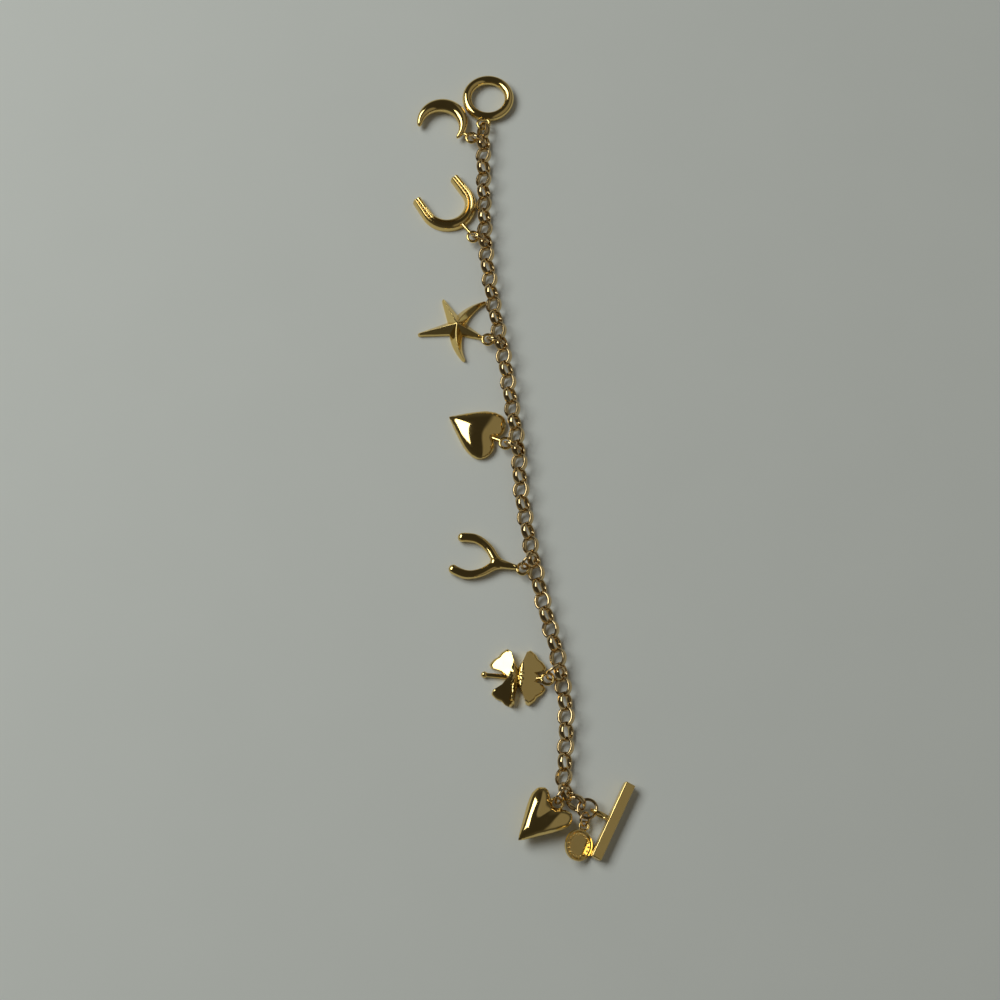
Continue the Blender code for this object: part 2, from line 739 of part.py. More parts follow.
def bar_eye_height():
    """Height of the eye's middle, with the bar standing on one edge."""
    axis = BAR_SIDE / 2 * (math.cos(BAR_ROLL) + math.sin(BAR_ROLL))
    return axis + bar_eye_reach() * math.sin(BAR_ROLL)


def bar_eye_play():
    """How far the end ring's wire can move from the middle of the bar's eye."""
    return BAR_EYE_RADIUS - (BAR_EYE_WIRE + END_RING_WIRE) / 2 - PLAY


def toggle_bar(end_middle):
    """The bar rolled on one edge, its eye on the side that faces the chain."""
    out = along(BAR_HEADING)
    eye_way = -math.cos(BAR_ROLL) * out + math.sin(BAR_ROLL) * UP
    off = bar_eye_play() * math.sqrt(1 - BAR_EYE_SEAT ** 2) + BAR_EYE_STRETCH
    eye_middle = end_middle + (END_RING_RADIUS + off) * out
    eye_middle.z = bar_eye_height()
    bar_middle = eye_middle - bar_eye_reach() * eye_way
    eye = wire_ring(BAR_EYE_RADIUS, BAR_EYE_WIRE, stretch=BAR_EYE_STRETCH)
    upright = math.cos(BAR_ROLL) * UP + math.sin(BAR_ROLL) * out
    eye.matrix_world = frame(eye_way, upright, eye_middle)
    bpy.ops.mesh.primitive_cube_add(size=1.0)
    bar = bpy.context.object
    bar.data.transform(Matrix.Diagonal((BAR_SIDE, BAR_SIDE, BAR_LENGTH, 1.0)))
    edges = bar.modifiers.new("soft edges", "BEVEL")
    edges.width = BAR_EDGE
    edges.segments = 2
    bar.matrix_world = frame(eye_way, upright, bar_middle)
    bpy.context.view_layer.update()
    return fuse([bar, eye])


def tag(height):
    """A coin with a rim and a ring of beads on one edge, its eye's middle over the origin."""
    rim = TAG_RADIUS - TAG_RIM
    top = TAG_THICKNESS
    profile = [(0.0, top - TAG_RIM_HEIGHT), (rim - TAG_RIM_HEIGHT, top - TAG_RIM_HEIGHT),
               (rim, top), (TAG_RADIUS, top), (TAG_RADIUS, 0.0), (0.0, 0.0)]
    mesh = bpy.data.meshes.new("tag")
    mesh.from_pydata([(x, 0.0, z) for x, z in profile],
                     [(i, i + 1) for i in range(len(profile) - 1)], [])
    coin = mesh_object("tag", mesh)
    turned = coin.modifiers.new("turned", "SCREW")
    turned.steps = 24
    turned.render_steps = 24
    turned.use_merge_vertices = True
    turned.merge_threshold = 0.0001 * MM
    pieces = []
    for k in range(TAG_BEADS):
        place = (rim - 2.4 * TAG_BEAD_RADIUS) * along(math.tau * (k + 0.5) / TAG_BEADS)
        place.z = top - TAG_RIM_HEIGHT
        pieces.append(stud(TAG_BEAD_RADIUS, TAG_BEAD_HEIGHT, place))
    reach = TAG_RADIUS + TAG_EYE_RADIUS + TAG_EYE_WIRE / 2
    lift = TAG_RADIUS * math.sin(abs(TAG_TILT))
    beads = join(pieces)
    for piece in (coin, beads):
        piece.location = (reach, 0.0, lift)
        piece.rotation_euler.x = TAG_TILT
    eye = wire_ring(TAG_EYE_RADIUS, TAG_EYE_WIRE)
    eye.location.z = height
    root = Vector((reach - rim, 0.0, lift + 0.5 * top))
    neck = tube([Vector((TAG_EYE_RADIUS, 0.0, height)), root],
                [TAG_NECK_RADIUS, TAG_NECK_RADIUS])
    bpy.context.view_layer.update()
    return fuse([coin, beads, eye, neck])


def hung_tag(end_middle):
    out = along(TAG_HEADING)
    wire = end_middle + END_RING_RADIUS * out
    ring_place, eye_wire, out = hang(wire, out, 0.0, TAG_RING_LEAN, END_RING_WIRE,
                                     TAG_RING_RADIUS, TAG_RING_WIRE, TAG_EYE_WIRE)
    ring = wire_ring(TAG_RING_RADIUS, TAG_RING_WIRE)
    ring.matrix_world = ring_place
    charm = tag(eye_wire.z)
    eye_middle = eye_wire + TAG_EYE_RADIUS * out
    charm.matrix_world = frame(out, UP.cross(out), Vector((eye_middle.x, eye_middle.y, 0.0)))
    return {"round_tag_jump_ring": ring, "round_tag": charm}


def build():
    wipe()
    frames = link_frames()
    parts = {"chain": chain(frames)}
    clasp_parts, end_middle = clasp(frames)
    parts.update(clasp_parts)
    parts.update(hung_charms(frames))
    parts.update(hung_tag(end_middle))
    bpy.context.view_layer.update()

    collection = bpy.data.collections.new("charm_bracelet")
    bpy.context.scene.collection.children.link(collection)
    origin = bpy.data.objects.new("charm_bracelet_origin", None)
    collection.objects.link(origin)
    corners = []
    for name, ob in parts.items():
        ob.data.transform(ob.matrix_world)
        ob.matrix_world = Matrix.Identity(4)
        ob.name = name
        ob.data.name = name
        ob.data.materials.clear()
        ob.data.materials.append(gold_material(name + "_gold"))
        ob.data.shade_smooth()
        ob.data.set_sharp_from_angle(angle=math.radians(40.0))
        for old in list(ob.users_collection):
            old.objects.unlink(ob)
        collection.objects.link(ob)
        ob.parent = origin
        corners += [v.co.copy() for v in ob.data.vertices]
    low = Vector([min(c[k] for c in corners) for k in range(3)])
    high = Vector([max(c[k] for c in corners) for k in range(3)])
    origin.location = (-(low.x + high.x) / 2, -(low.y + high.y) / 2, -low.z)


build()
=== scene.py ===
"""Looks of the charm bracelet: polished gold plating on every link, ring and cast charm.

Every piece is made on the table where its CAD node lies and replaces it. The layout follows the
same sizes as the CAD: links a pitch apart along the route, charms hanging on every eighth link.
Metres, +Z up, the table at Z = 0, the chain running down -Y from the clasp's ring to its bar.
"""

import math

import bmesh
import bpy
import numpy as np
from mathutils import Matrix, Vector


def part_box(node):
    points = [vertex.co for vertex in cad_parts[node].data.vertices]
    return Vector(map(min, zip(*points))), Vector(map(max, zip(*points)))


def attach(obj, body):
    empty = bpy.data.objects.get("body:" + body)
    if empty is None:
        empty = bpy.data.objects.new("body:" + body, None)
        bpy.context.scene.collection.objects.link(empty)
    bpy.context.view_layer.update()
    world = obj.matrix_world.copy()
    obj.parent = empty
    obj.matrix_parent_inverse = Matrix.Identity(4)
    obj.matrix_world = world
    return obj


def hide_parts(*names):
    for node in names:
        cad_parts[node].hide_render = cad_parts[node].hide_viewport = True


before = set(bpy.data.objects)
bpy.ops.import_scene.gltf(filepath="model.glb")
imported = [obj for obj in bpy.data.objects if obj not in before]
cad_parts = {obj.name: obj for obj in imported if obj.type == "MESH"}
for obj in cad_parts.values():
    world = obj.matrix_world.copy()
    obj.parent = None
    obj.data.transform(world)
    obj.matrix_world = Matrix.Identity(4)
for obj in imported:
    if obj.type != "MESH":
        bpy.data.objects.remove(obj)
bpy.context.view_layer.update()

MM = 0.001
UP = Vector((0.0, 0.0, 1.0))

# Gap between pieces that touch in the real bracelet
PLAY = 0.28 * MM

# Chain: oval links of half-flat wire, every other one leaning the other way
LINK_WIRE = 0.6 * MM
LINK_BAND = 1.35 * MM
LINK_WIDTH = 4.1 * MM
LINK_PITCH = 3.41 * MM
LINK_BITE = 0.08 * MM
LINK_COUNT = 51
STEEP_LEAN = math.radians(53.0)
LOW_LEAN = math.radians(-37.0)
END_LEAN = math.radians(-53.0)

# How far the links' section is squared off, and how each link sways about its long axis
LINK_SQUARE = 0.6
LINK_SWAY = math.radians(2.5)
LINK_SWAY_STEP = 2.4

# Route of the chain on the table, from the ring of the clasp to its bar, in millimetres
CHAIN_ROUTE = [
    (-4.1, 98.3), (-4.05, 85.8), (-3.9, 76.6), (-3.3, 62.4), (-1.3, 47.7), (1.06, 34.7),
    (2.7, 23.1), (4.3, 12.0), (4.8, 1.8), (6.95, -11.6), (9.7, -25.3), (13.0, -38.4),
    (14.6, -50.8), (14.2, -62.7), (13.9, -68.9), (17.0, -71.3), (20.8, -73.3), (24.6, -75.3),
]

# Jump rings, all of one wire
JUMP_RADIUS = 2.0 * MM
JUMP_WIRE = 0.68 * MM

# How far down and up inside a jump ring its link and its charm sit, as shares of its free radius
LINK_SEAT = 0.9
EYE_SEAT = 0.8

# Eyes of the charms
EYE_RADIUS = 1.3 * MM
EYE_WIRE = 0.68 * MM
STEM_RADIUS = 0.42 * MM
STEM_ROOT_RADIUS = 0.6 * MM

# How far the neck of an eye reaches into its charm, and into the cleft of a heart
NECK_BITE = 0.8 * MM
CLEFT_BITE = 1.2 * MM

# Toggle clasp
TOGGLE_RADIUS = 5.25 * MM
TOGGLE_TUBE = 2.3 * MM
TOGGLE_EYE_RADIUS = 1.45 * MM
TOGGLE_EYE_WIRE = 0.7 * MM
TOGGLE_HEADING = math.radians(81.5)
SOLDER_BITE = 0.15 * MM
CLASP_SLACK = 0.6 * MM
END_RING_RADIUS = 2.05 * MM
END_RING_WIRE = 0.7 * MM
BAR_LENGTH = 18.1 * MM
BAR_SIDE = 2.35 * MM
BAR_ROLL = math.radians(15.0)
BAR_EDGE = 0.28 * MM
BAR_EYE_RADIUS = 1.45 * MM
BAR_EYE_WIRE = 0.76 * MM
BAR_EYE_STRETCH = 0.6 * MM
BAR_EYE_SEAT = 0.5
BAR_HEADING = math.radians(-25.5)

# Crescent moon
CRESCENT_OUTER = 6.3 * MM
CRESCENT_INNER = 4.59 * MM
CRESCENT_OFFSET = 1.79 * MM
CRESCENT_HEIGHT = 3.1 * MM
CRESCENT_TIP = math.radians(62.0)
CRESCENT_ROUND = math.radians(4.0)
CRESCENT_OPENING = math.radians(107.0)
CRESCENT_REACH = 2.4 * MM

# Horseshoe: a U of bar, wide at the toe, with two rims and a groove between them, whose floor is
# at a share of the bar's height
SHOE_INNER_RADIUS = 4.3 * MM
SHOE_LEG = 4.9 * MM
SHOE_TOE_WIDTH = 3.1 * MM
SHOE_TIP_WIDTH = 2.4 * MM
SHOE_HEIGHT = 1.9 * MM
SHOE_GROOVE = 0.78
SHOE_REACH = 4.1 * MM
NAIL_COUNT = 7
NAIL_RADIUS = 0.26 * MM
NAIL_PITCH = 0.85 * MM

# Starfish
STAR_PEAK = 3.4 * MM
STAR_WALL = 1.0 * MM
STAR_TIP_HEIGHT = 1.3 * MM
STAR_WAIST = 2.1 * MM
STAR_TIP_WIDTH = 0.75 * MM
STAR_REACH = 8.2 * MM

# Share of an arm's half width at which its roof starts, and the half of its rounded crest
STAR_EAVES = 0.89
STAR_CREST = 0.10

# Flat heart
FLAT_HEART_LENGTH = 13.1 * MM
FLAT_HEART_WIDTH = 12.3 * MM
FLAT_HEART_RIM = 0.7 * MM
FLAT_HEART_DOME = 2.3 * MM
FLAT_HEART_REACH = 3.6 * MM
FLAT_HEART_CROWN = 0.42

# Wishbone
BONE_THICKNESS = 2.1 * MM
BONE_LENGTH = 10.5 * MM
BONE_SPREAD = 8.9 * MM
BONE_STEM = 4.3 * MM
BONE_REACH = 1.3 * MM
BONE_SQUARE = 0.8

# Clover
LEAF_RADIUS = 6.9 * MM
LEAF_SPREAD = math.radians(56.0)
LEAF_WALL = 0.9 * MM
LEAF_JOIN = 5.6 * MM
CLOVER_STEM_LENGTH = 7.4 * MM
CLOVER_STEM_RADIUS = 0.5 * MM
CLOVER_BALL_RADIUS = 0.75 * MM
CLOVER_REACH = 6.8 * MM

# Puffed heart
PUFFED_HEART_LENGTH = 12.3 * MM
PUFFED_HEART_WIDTH = 10.8 * MM
PUFFED_HEART_THICKNESS = 5.2 * MM
PUFFED_HEART_REACH = 1.5 * MM
PUFFED_HEART_CROWN = 0.40

# Valley from the puffed heart's cleft: its depth, half width, start and length
VALLEY_DEPTH = 0.5
VALLEY_WIDTH = 1.6 * MM
VALLEY_START = 0.12
VALLEY_LENGTH = 0.6

# Power that rounds the swell of both hearts
HEART_SWELL = 0.5

# Round tag
TAG_RADIUS = 3.4 * MM
TAG_THICKNESS = 0.8 * MM
TAG_RIM = 0.35 * MM
TAG_RIM_HEIGHT = 0.2 * MM
TAG_BEADS = 16
TAG_BEAD_RADIUS = 0.3 * MM
TAG_BEAD_HEIGHT = 0.3 * MM
TAG_TILT = math.radians(-33.0)
TAG_HEADING = math.radians(-109.0)
TAG_RING_RADIUS = 1.45 * MM
TAG_RING_WIRE = 0.55 * MM
TAG_RING_LEAN = math.radians(35.0)
TAG_EYE_RADIUS = 0.95 * MM
TAG_EYE_WIRE = 0.5 * MM
TAG_NECK_RADIUS = 0.32 * MM

# Where each charm hangs: on which of the steep links, the turn of its jump ring from square to
# the chain, the ring's lean, the way the charm lies and how far its body starts from its eye
HANGINGS = {
    #               steep  turn   lean  heading  reach
    "crescent":     (0,    -28.0, -10.0,  147.0,  CRESCENT_REACH),
    "horseshoe":    (4,    -26.0, -15.0,  124.0,  SHOE_REACH),
    "starfish":     (8,    -28.0, -10.0,  153.0,  STAR_REACH),
    "flat_heart":   (12,   -30.0, -12.0,  152.0,  FLAT_HEART_REACH),
    "wishbone":     (16,    30.0,  15.0,  165.0,  BONE_REACH),
    "clover":       (20,    10.0,  25.0,  175.0,  CLOVER_REACH),
    "puffed_heart": (24,    25.0,  15.0, -136.0,  PUFFED_HEART_REACH),
}

# Camera of the photo: its lens, tilt from straight down and height over the table
LENS_MM = 72.0
CAMERA_TILT = math.radians(20.5)
CAMERA_HEIGHT = 0.433

# Gold of the cast pieces and of the chain and rings: light tone, deep tone, roughness
CHARM_GOLD = ((0.90, 0.68, 0.28), (0.82, 0.59, 0.20), 0.075)
CHAIN_GOLD = ((0.72, 0.54, 0.29), (0.57, 0.41, 0.195), 0.075)

# Table: its two tones and half its side
TABLE_LIGHT = (0.775, 0.80, 0.775)
TABLE_DEEP = (0.745, 0.77, 0.745)
TABLE_HALF = 1.6

# Window: sides in metres, power in watts, colour, and where it stands from the bracelet
WINDOW_WIDTH = 1.04
WINDOW_HEIGHT = 0.7
WINDOW_POWER = 9.9
WINDOW_COLOR = (0.97, 1.0, 0.965)
WINDOW_AZIMUTH = math.radians(155.0)
WINDOW_ELEVATION = math.radians(47.0)
WINDOW_DISTANCE = 1.3

# Room: at the horizon, overhead and up on the right
ROOM_LOW = (0.075, 0.072, 0.062, 1.0)
ROOM_HIGH = (0.034, 0.031, 0.025, 1.0)
ROOM_RIGHT = (0.215, 0.205, 0.18, 1.0)

# How finely round things are cut
RING_STEPS = 56
LINK_STEPS = 40
WIRE_SIDES = 16


# Geometry helpers

def along(angle):
    return Vector((math.cos(angle), math.sin(angle), 0.0))


def axes(x_axis, y_axis, origin):
    """The matrix that lays local X and Y on two square axes at an origin."""
    z_axis = x_axis.cross(y_axis)
    turn = Matrix((x_axis, y_axis, z_axis)).transposed().to_4x4()
    return Matrix.Translation(origin) @ turn


def mesh_object(name, mesh):
    ob = bpy.data.objects.new(name, mesh)
    bpy.context.scene.collection.objects.link(ob)
    return ob


def from_rings(rings, closed=False):
    """A skin through rings of as many points each; an end ring may be one single point."""
    shape = bmesh.new()
    rows = [[shape.verts.new(point) for point in ring] for ring in rings]
    pairs = list(zip(rows, rows[1:]))
    if closed:
        pairs.append((rows[-1], rows[0]))
    for low, high in pairs:
        count = max(len(low), len(high))
        for i in range(count):
            j = (i + 1) % count
            if len(low) == 1:
                shape.faces.new((low[0], high[j], high[i]))
            elif len(high) == 1:
                shape.faces.new((low[i], low[j], high[0]))
            else:
                shape.faces.new((low[i], low[j], high[j], high[i]))
    if not closed:
        for row in (rows[0], rows[-1]):
            if len(row) > 2:
                shape.faces.new(row)
    bmesh.ops.recalc_face_normals(shape, faces=shape.faces)
    mesh = bpy.data.meshes.new("skin")
    shape.to_mesh(mesh)
    shape.free()
    return mesh_object("skin", mesh)


def bent(value, power):
    """A cosine or sine with its curve squared off by a power under one."""
    return math.copysign(abs(value) ** power, value)


def wire_ring(radius, wire, stretch=0.0, band=None, steps=RING_STEPS, sides=WIRE_SIDES, joint=None,
              square=1.0):
    """A ring of wire in the XY plane; its butt joint is a fine nick at the given share round it."""
    depth = band or wire
    rings = []
    for k in range(steps):
        way = along(math.tau * k / steps)
        nick = 0.93 if joint is not None and k == round(joint * steps) else 1.0
        middle = Vector(((radius + stretch) * way.x, radius * way.y, 0.0))
        ring = []
        for s in range(sides):
            t = math.tau * s / sides
            ring.append(middle + nick * wire / 2 * bent(math.cos(t), square) * way
                        + nick * depth / 2 * bent(math.sin(t), square) * UP)
        rings.append(ring)
    return from_rings(rings, closed=True)


def sweep(points, radii, sides=20, square=1.0):
    """A bar along a line of points with rounded ends, its section squared off by a power."""
    rings = []
    last = len(points) - 1
    for i, (point, radius) in enumerate(zip(points, radii)):
        run = (points[min(i + 1, last)] - points[max(i - 1, 0)]).normalized()
        side = run.cross(UP).normalized()
        top = side.cross(run)
        rings.append([point + radius * (bent(math.cos(math.tau * s / sides), square) * side
                                        + bent(math.sin(math.tau * s / sides), square) * top)
                      for s in range(sides)])
    caps = []
    for centre, run, ring, radius in (
            (points[0], (points[0] - points[1]).normalized(), rings[0], radii[0]),
            (points[-1], (points[-1] - points[-2]).normalized(), rings[-1], radii[-1])):
        dome = []
        for step in range(1, 6):
            a = math.pi / 2 * step / 6
            dome.append([centre + math.sin(a) * radius * run + math.cos(a) * (p - centre)
                         for p in ring])
        dome.append([centre + radius * run])
        caps.append(dome)
    return from_rings(caps[0][::-1] + rings + caps[1])


def ball(radius, place, squash=1.0):
    shape = bmesh.new()
    bmesh.ops.create_uvsphere(shape, u_segments=20, v_segments=12, radius=radius)
    for vertex in shape.verts:
        vertex.co.z *= squash
        vertex.co += place
    mesh = bpy.data.meshes.new("ball")
    shape.to_mesh(mesh)
    shape.free()
    return mesh_object("ball", mesh)


def join(pieces):
    """Pieces as one mesh, each where its matrix puts it."""
    bpy.context.view_layer.update()
    shape = bmesh.new()
    for piece in pieces:
        piece.data.transform(piece.matrix_world)
        shape.from_mesh(piece.data)
        bpy.data.objects.remove(piece, do_unlink=True)
    mesh = bpy.data.meshes.new("joined")
    shape.to_mesh(mesh)
    shape.free()
    return mesh_object("joined", mesh)


def fuse(pieces):
    """One skin out of pieces that reach into each other."""
    bpy.context.view_layer.update()
    base = pieces[0]
    for other in pieces[1:]:
        union = base.modifiers.new("fuse", "BOOLEAN")
        union.operation = "UNION"
        union.solver = "EXACT"
        union.object = other
    bpy.context.view_layer.update()
    mesh = bpy.data.meshes.new_from_object(
        base.evaluated_get(bpy.context.evaluated_depsgraph_get()))
    mesh.transform(base.matrix_world)
    for piece in pieces:
        bpy.data.objects.remove(piece, do_unlink=True)
    return mesh_object("fused", mesh)


def smooth_line(points, per_span):
    """Catmull-Rom curve through points, as many steps in every span."""
    ends = [2 * points[0] - points[1]] + points + [2 * points[-1] - points[-2]]
    line = []
    for a, b, c, d in zip(ends, ends[1:], ends[2:], ends[3:]):
        for step in range(per_span):
            t = step / per_span
            line.append(0.5 * (2 * b + (c - a) * t + (2 * a - 5 * b + 4 * c - d) * t * t
                               + (3 * b - a - 3 * c + d) * t ** 3))
    line.append(points[-1])
    return line


# Chain

def chain_contacts():
    """Where each link meets the next: points a pitch apart along the smooth route."""
    line = smooth_line([Vector((x, y, 0.0)) * MM for x, y in CHAIN_ROUTE], 40)
    contacts = [line[0]]
    for a, b in zip(line, line[1:]):
        while (b - contacts[-1]).length >= LINK_PITCH and len(contacts) <= LINK_COUNT:
            low, high = 0.0, 1.0
            for _ in range(30):
                middle = (low + high) / 2
                if (a.lerp(b, middle) - contacts[-1]).length < LINK_PITCH:
                    low = middle
                else:
                    high = middle
            contacts.append(a.lerp(b, high))
    while len(contacts) <= LINK_COUNT:
        run = (line[-1] - line[-2]).normalized()
        contacts.append(contacts[-1] + LINK_PITCH * run)
    return contacts


def chain_height():
    """Height of the links' middles, with the steep ones standing on the table."""
    wire_foot = math.hypot(LINK_WIRE / 2 * math.sin(STEEP_LEAN),
                           LINK_BAND / 2 * math.cos(STEEP_LEAN))
    return math.sin(STEEP_LEAN) * (LINK_WIDTH - LINK_WIRE) / 2 + wire_foot


def link_frames():
    """For each link its middle, its long axis and its cross axis on the charms' side."""
    contacts = chain_contacts()
    frames = []
    for i, (start, end) in enumerate(zip(contacts, contacts[1:])):
        run = (end - start).normalized()
        side = run.cross(UP)
        lean = STEEP_LEAN if i % 2 else LOW_LEAN
        if i in (0, LINK_COUNT - 1):
            lean = END_LEAN
        cross = math.cos(lean) * side + math.sin(lean) * UP
        frames.append(((start + end) / 2 + chain_height() * UP, run, cross))
    return frames


def chain(frames):
    """All the links as one mesh, its lowest band on the table."""
    across = (LINK_WIDTH - LINK_WIRE) / 2
    lengthwise = (LINK_PITCH - LINK_BITE + LINK_WIRE) / 2
    links = []
    for i, (middle, run, cross) in enumerate(frames):
        link = wire_ring(across, LINK_WIRE, stretch=lengthwise - across, band=LINK_BAND,
                         steps=LINK_STEPS, sides=WIRE_SIDES,
                         joint=0.25 if i % 4 < 2 else 0.75, square=LINK_SQUARE)
        sway = Matrix.Rotation(LINK_SWAY * math.sin(LINK_SWAY_STEP * i), 4, run)
        link.matrix_world = axes(run, sway.to_3x3() @ cross, middle)
        links.append(link)
    whole = join(links)
    lowest = min(vertex.co.z for vertex in whole.data.vertices)
    whole.data.transform(Matrix.Translation(-min(lowest, 0.0) * UP))
    return whole


# Hanging on jump rings

def hang(side_wire, side, turn, lean, wire, radius, ring_wire, eye_wire):
    """A jump ring round a wire: its matrix, the place of the eye's wire and the way it points."""
    out = Matrix.Rotation(turn, 3, "Z") @ side
    rise = math.cos(lean) * UP + math.sin(lean) * out.cross(UP)
    on_wire = radius - (ring_wire + wire) / 2 - PLAY
    on_eye = radius - (ring_wire + eye_wire) / 2 - PLAY
    standing = radius * math.cos(lean) + ring_wire / 2
    height = max(standing, side_wire.z - LINK_SEAT * on_wire * math.cos(lean))
    up_to_wire = (side_wire.z - height) / math.cos(lean)
    centre = side_wire + math.sqrt(on_wire ** 2 - up_to_wire ** 2) * out - up_to_wire * rise
    run = side.cross(UP)
    inner = centre - radius * out
    centre -= (inner - side_wire).dot(run) / 2 * run
    eye = centre + on_eye * (math.sqrt(1 - EYE_SEAT ** 2) * out - EYE_SEAT * rise)
    return axes(out, rise, centre), eye, out


def charm_eye(height):
    """The flat eye at the charm's origin."""
    eye = wire_ring(EYE_RADIUS, EYE_WIRE)
    eye.location.z = height
    return eye


def stem(height, reach, end_height):
    """The short neck from the eye's wire to a point inside the charm's body, wider there."""
    start = Vector((EYE_RADIUS, 0.0, height))
    end = Vector((reach, 0.0, end_height))
    line = [start.lerp(end, share) for share in (0.0, 0.35, 0.6, 0.8, 1.0)]
    widening = STEM_ROOT_RADIUS - STEM_RADIUS
    return sweep(line, [STEM_RADIUS + widening * share for share in (0.0, 0.0, 0.25, 0.6, 1.0)], 20)


# Charms, each in its own frame: the eye's middle over the origin, the body along +X, the table at 0

def crescent_section(angle, share, sides=32):
    """An oval across the moon at an angle from the middle of its opening, or a share of it."""
    shift = CRESCENT_OFFSET
    inside = shift * math.cos(angle) + math.sqrt(
        CRESCENT_INNER ** 2 - (shift * math.sin(angle)) ** 2)
    thickest = CRESCENT_OUTER - CRESCENT_INNER + CRESCENT_OFFSET
    width = CRESCENT_OUTER - inside
    height = CRESCENT_HEIGHT * (width / thickest) ** 0.75
    middle = (CRESCENT_OUTER + inside) / 2
    way = along(angle + CRESCENT_OPENING)
    ring = []
    for k in range(sides):
        t = math.tau * k / sides
        ring.append((middle + share * width / 2 * math.cos(t)) * way
                    + (CRESCENT_HEIGHT / 2 + share * height / 2 * math.sin(t)) * UP)
    return ring


def crescent(height, reach):
    """A moon whose lower tip is drawn out by the rounding of its tips."""
    steps = 90
    round_tip = 2.2 * CRESCENT_ROUND
    first = CRESCENT_TIP - round_tip
    whole = math.tau - first - CRESCENT_TIP + 0.4 * CRESCENT_ROUND
    rings = []
    for i in range(steps + 1):
        share = 0.5 - 0.5 * math.cos(math.pi * i / steps)
        from_tip = min(share, 1 - share) * whole
        close = 1.0
        if from_tip < round_tip:
            close = math.sqrt(1 - (1 - from_tip / round_tip) ** 2)
        rings.append(crescent_section(first + whole * share, max(close, 0.03)))
    moon = from_rings(rings)
    moon.location.x = CRESCENT_OUTER + reach
    return fuse([moon, charm_eye(height), stem(height, reach + NECK_BITE, CRESCENT_HEIGHT / 2)])


def shoe_line(steps):
    """Inner edge of the U from one tip round the toe to the other, with its outward way."""
    half_turn = math.pi * SHOE_INNER_RADIUS
    whole = half_turn + 2 * SHOE_LEG
    line = []
    for i in range(steps + 1):
        s = whole * i / steps
        if s < SHOE_LEG:
            point, out = Vector((SHOE_LEG - s, -SHOE_INNER_RADIUS, 0.0)), Vector((0, -1, 0))
        elif s > SHOE_LEG + half_turn:
            point = Vector((s - SHOE_LEG - half_turn, SHOE_INNER_RADIUS, 0.0))
            out = Vector((0, 1, 0))
        else:
            out = along(-math.pi / 2 - (s - SHOE_LEG) / SHOE_INNER_RADIUS)
            point = SHOE_INNER_RADIUS * out
        share = abs(2 * i / steps - 1)
        line.append((point, out, SHOE_TOE_WIDTH + (SHOE_TIP_WIDTH - SHOE_TOE_WIDTH) * share))
    return line


# Section of the bar from its inner foot over both rims and the groove between them: shares of its
# width and of its height
SHOE_SECTION = [
    #  width  height
    (0.00, 0.00), (0.00, 0.22), (0.02, 0.44), (0.06, 0.62), (0.12, 0.77), (0.19, 0.89),
    (0.24, 0.97), (0.28, 1.00), (0.32, 0.97), (0.36, 0.84),
    (0.40, SHOE_GROOVE), (0.60, SHOE_GROOVE),
    (0.64, 0.84), (0.68, 0.97), (0.72, 1.00), (0.76, 0.97),
    (0.81, 0.89), (0.88, 0.77), (0.94, 0.62), (0.98, 0.44), (1.00, 0.22), (1.00, 0.00),
]


def horseshoe(height, reach):
    """The bar of the shoe with softly closed tips, and ring nails in the groove of both legs."""
    section = smooth_line([Vector((w, h, 0.0)) for w, h in SHOE_SECTION], 2)
    rings = []
    for point, out, width in shoe_line(96):
        rings.append([point + p.x * width * out + max(p.y, 0.0) * SHOE_HEIGHT * UP
                      for p in section])
    tips = []
    for index in (0, -1):
        centre = sum(rings[index], Vector()) / len(section)
        for share, forward in ((0.93, 0.10), (0.80, 0.16)):
            tips.append([centre + share * (p - centre) + Vector((forward * MM, 0, 0))
                         for p in rings[index]])
            for q in tips[-1]:
                q.z = max(q.z, 0.0)
    rings = [tips[1], tips[0]] + rings + [tips[2], tips[3]]
    shoe = from_rings(rings)
    centre = reach + SHOE_TOE_WIDTH + SHOE_INNER_RADIUS
    pieces = [shoe]
    floor = SHOE_GROOVE * SHOE_HEIGHT
    for side in (-1, 1):
        across = side * (SHOE_INNER_RADIUS + SHOE_TIP_WIDTH / 2)
        for k in range(NAIL_COUNT):
            x = SHOE_LEG - SHOE_TIP_WIDTH * 0.4 - k * NAIL_PITCH
            nail = wire_ring(0.75 * NAIL_RADIUS, 0.4 * NAIL_RADIUS, steps=20, sides=8)
            nail.location = (x, across, floor + 0.01 * MM)
            pieces.append(nail)
    for piece in pieces:
        piece.location.x += centre
    return fuse([pieces[0], join(pieces[1:]), charm_eye(height),
                 stem(height, reach + NECK_BITE, SHOE_HEIGHT * 0.45)])


# Arms of the starfish: way in its own frame, length, bend to the left
STAR_ARMS = [
    #  way     length    bend
    (182.0,    6.8 * MM,  0.0),
    (251.7,    9.5 * MM,  0.10),
    (322.7,    8.1 * MM,  0.0),
    (38.7,     9.6 * MM,  0.0),
    (128.2,    9.0 * MM,  -0.10),
]


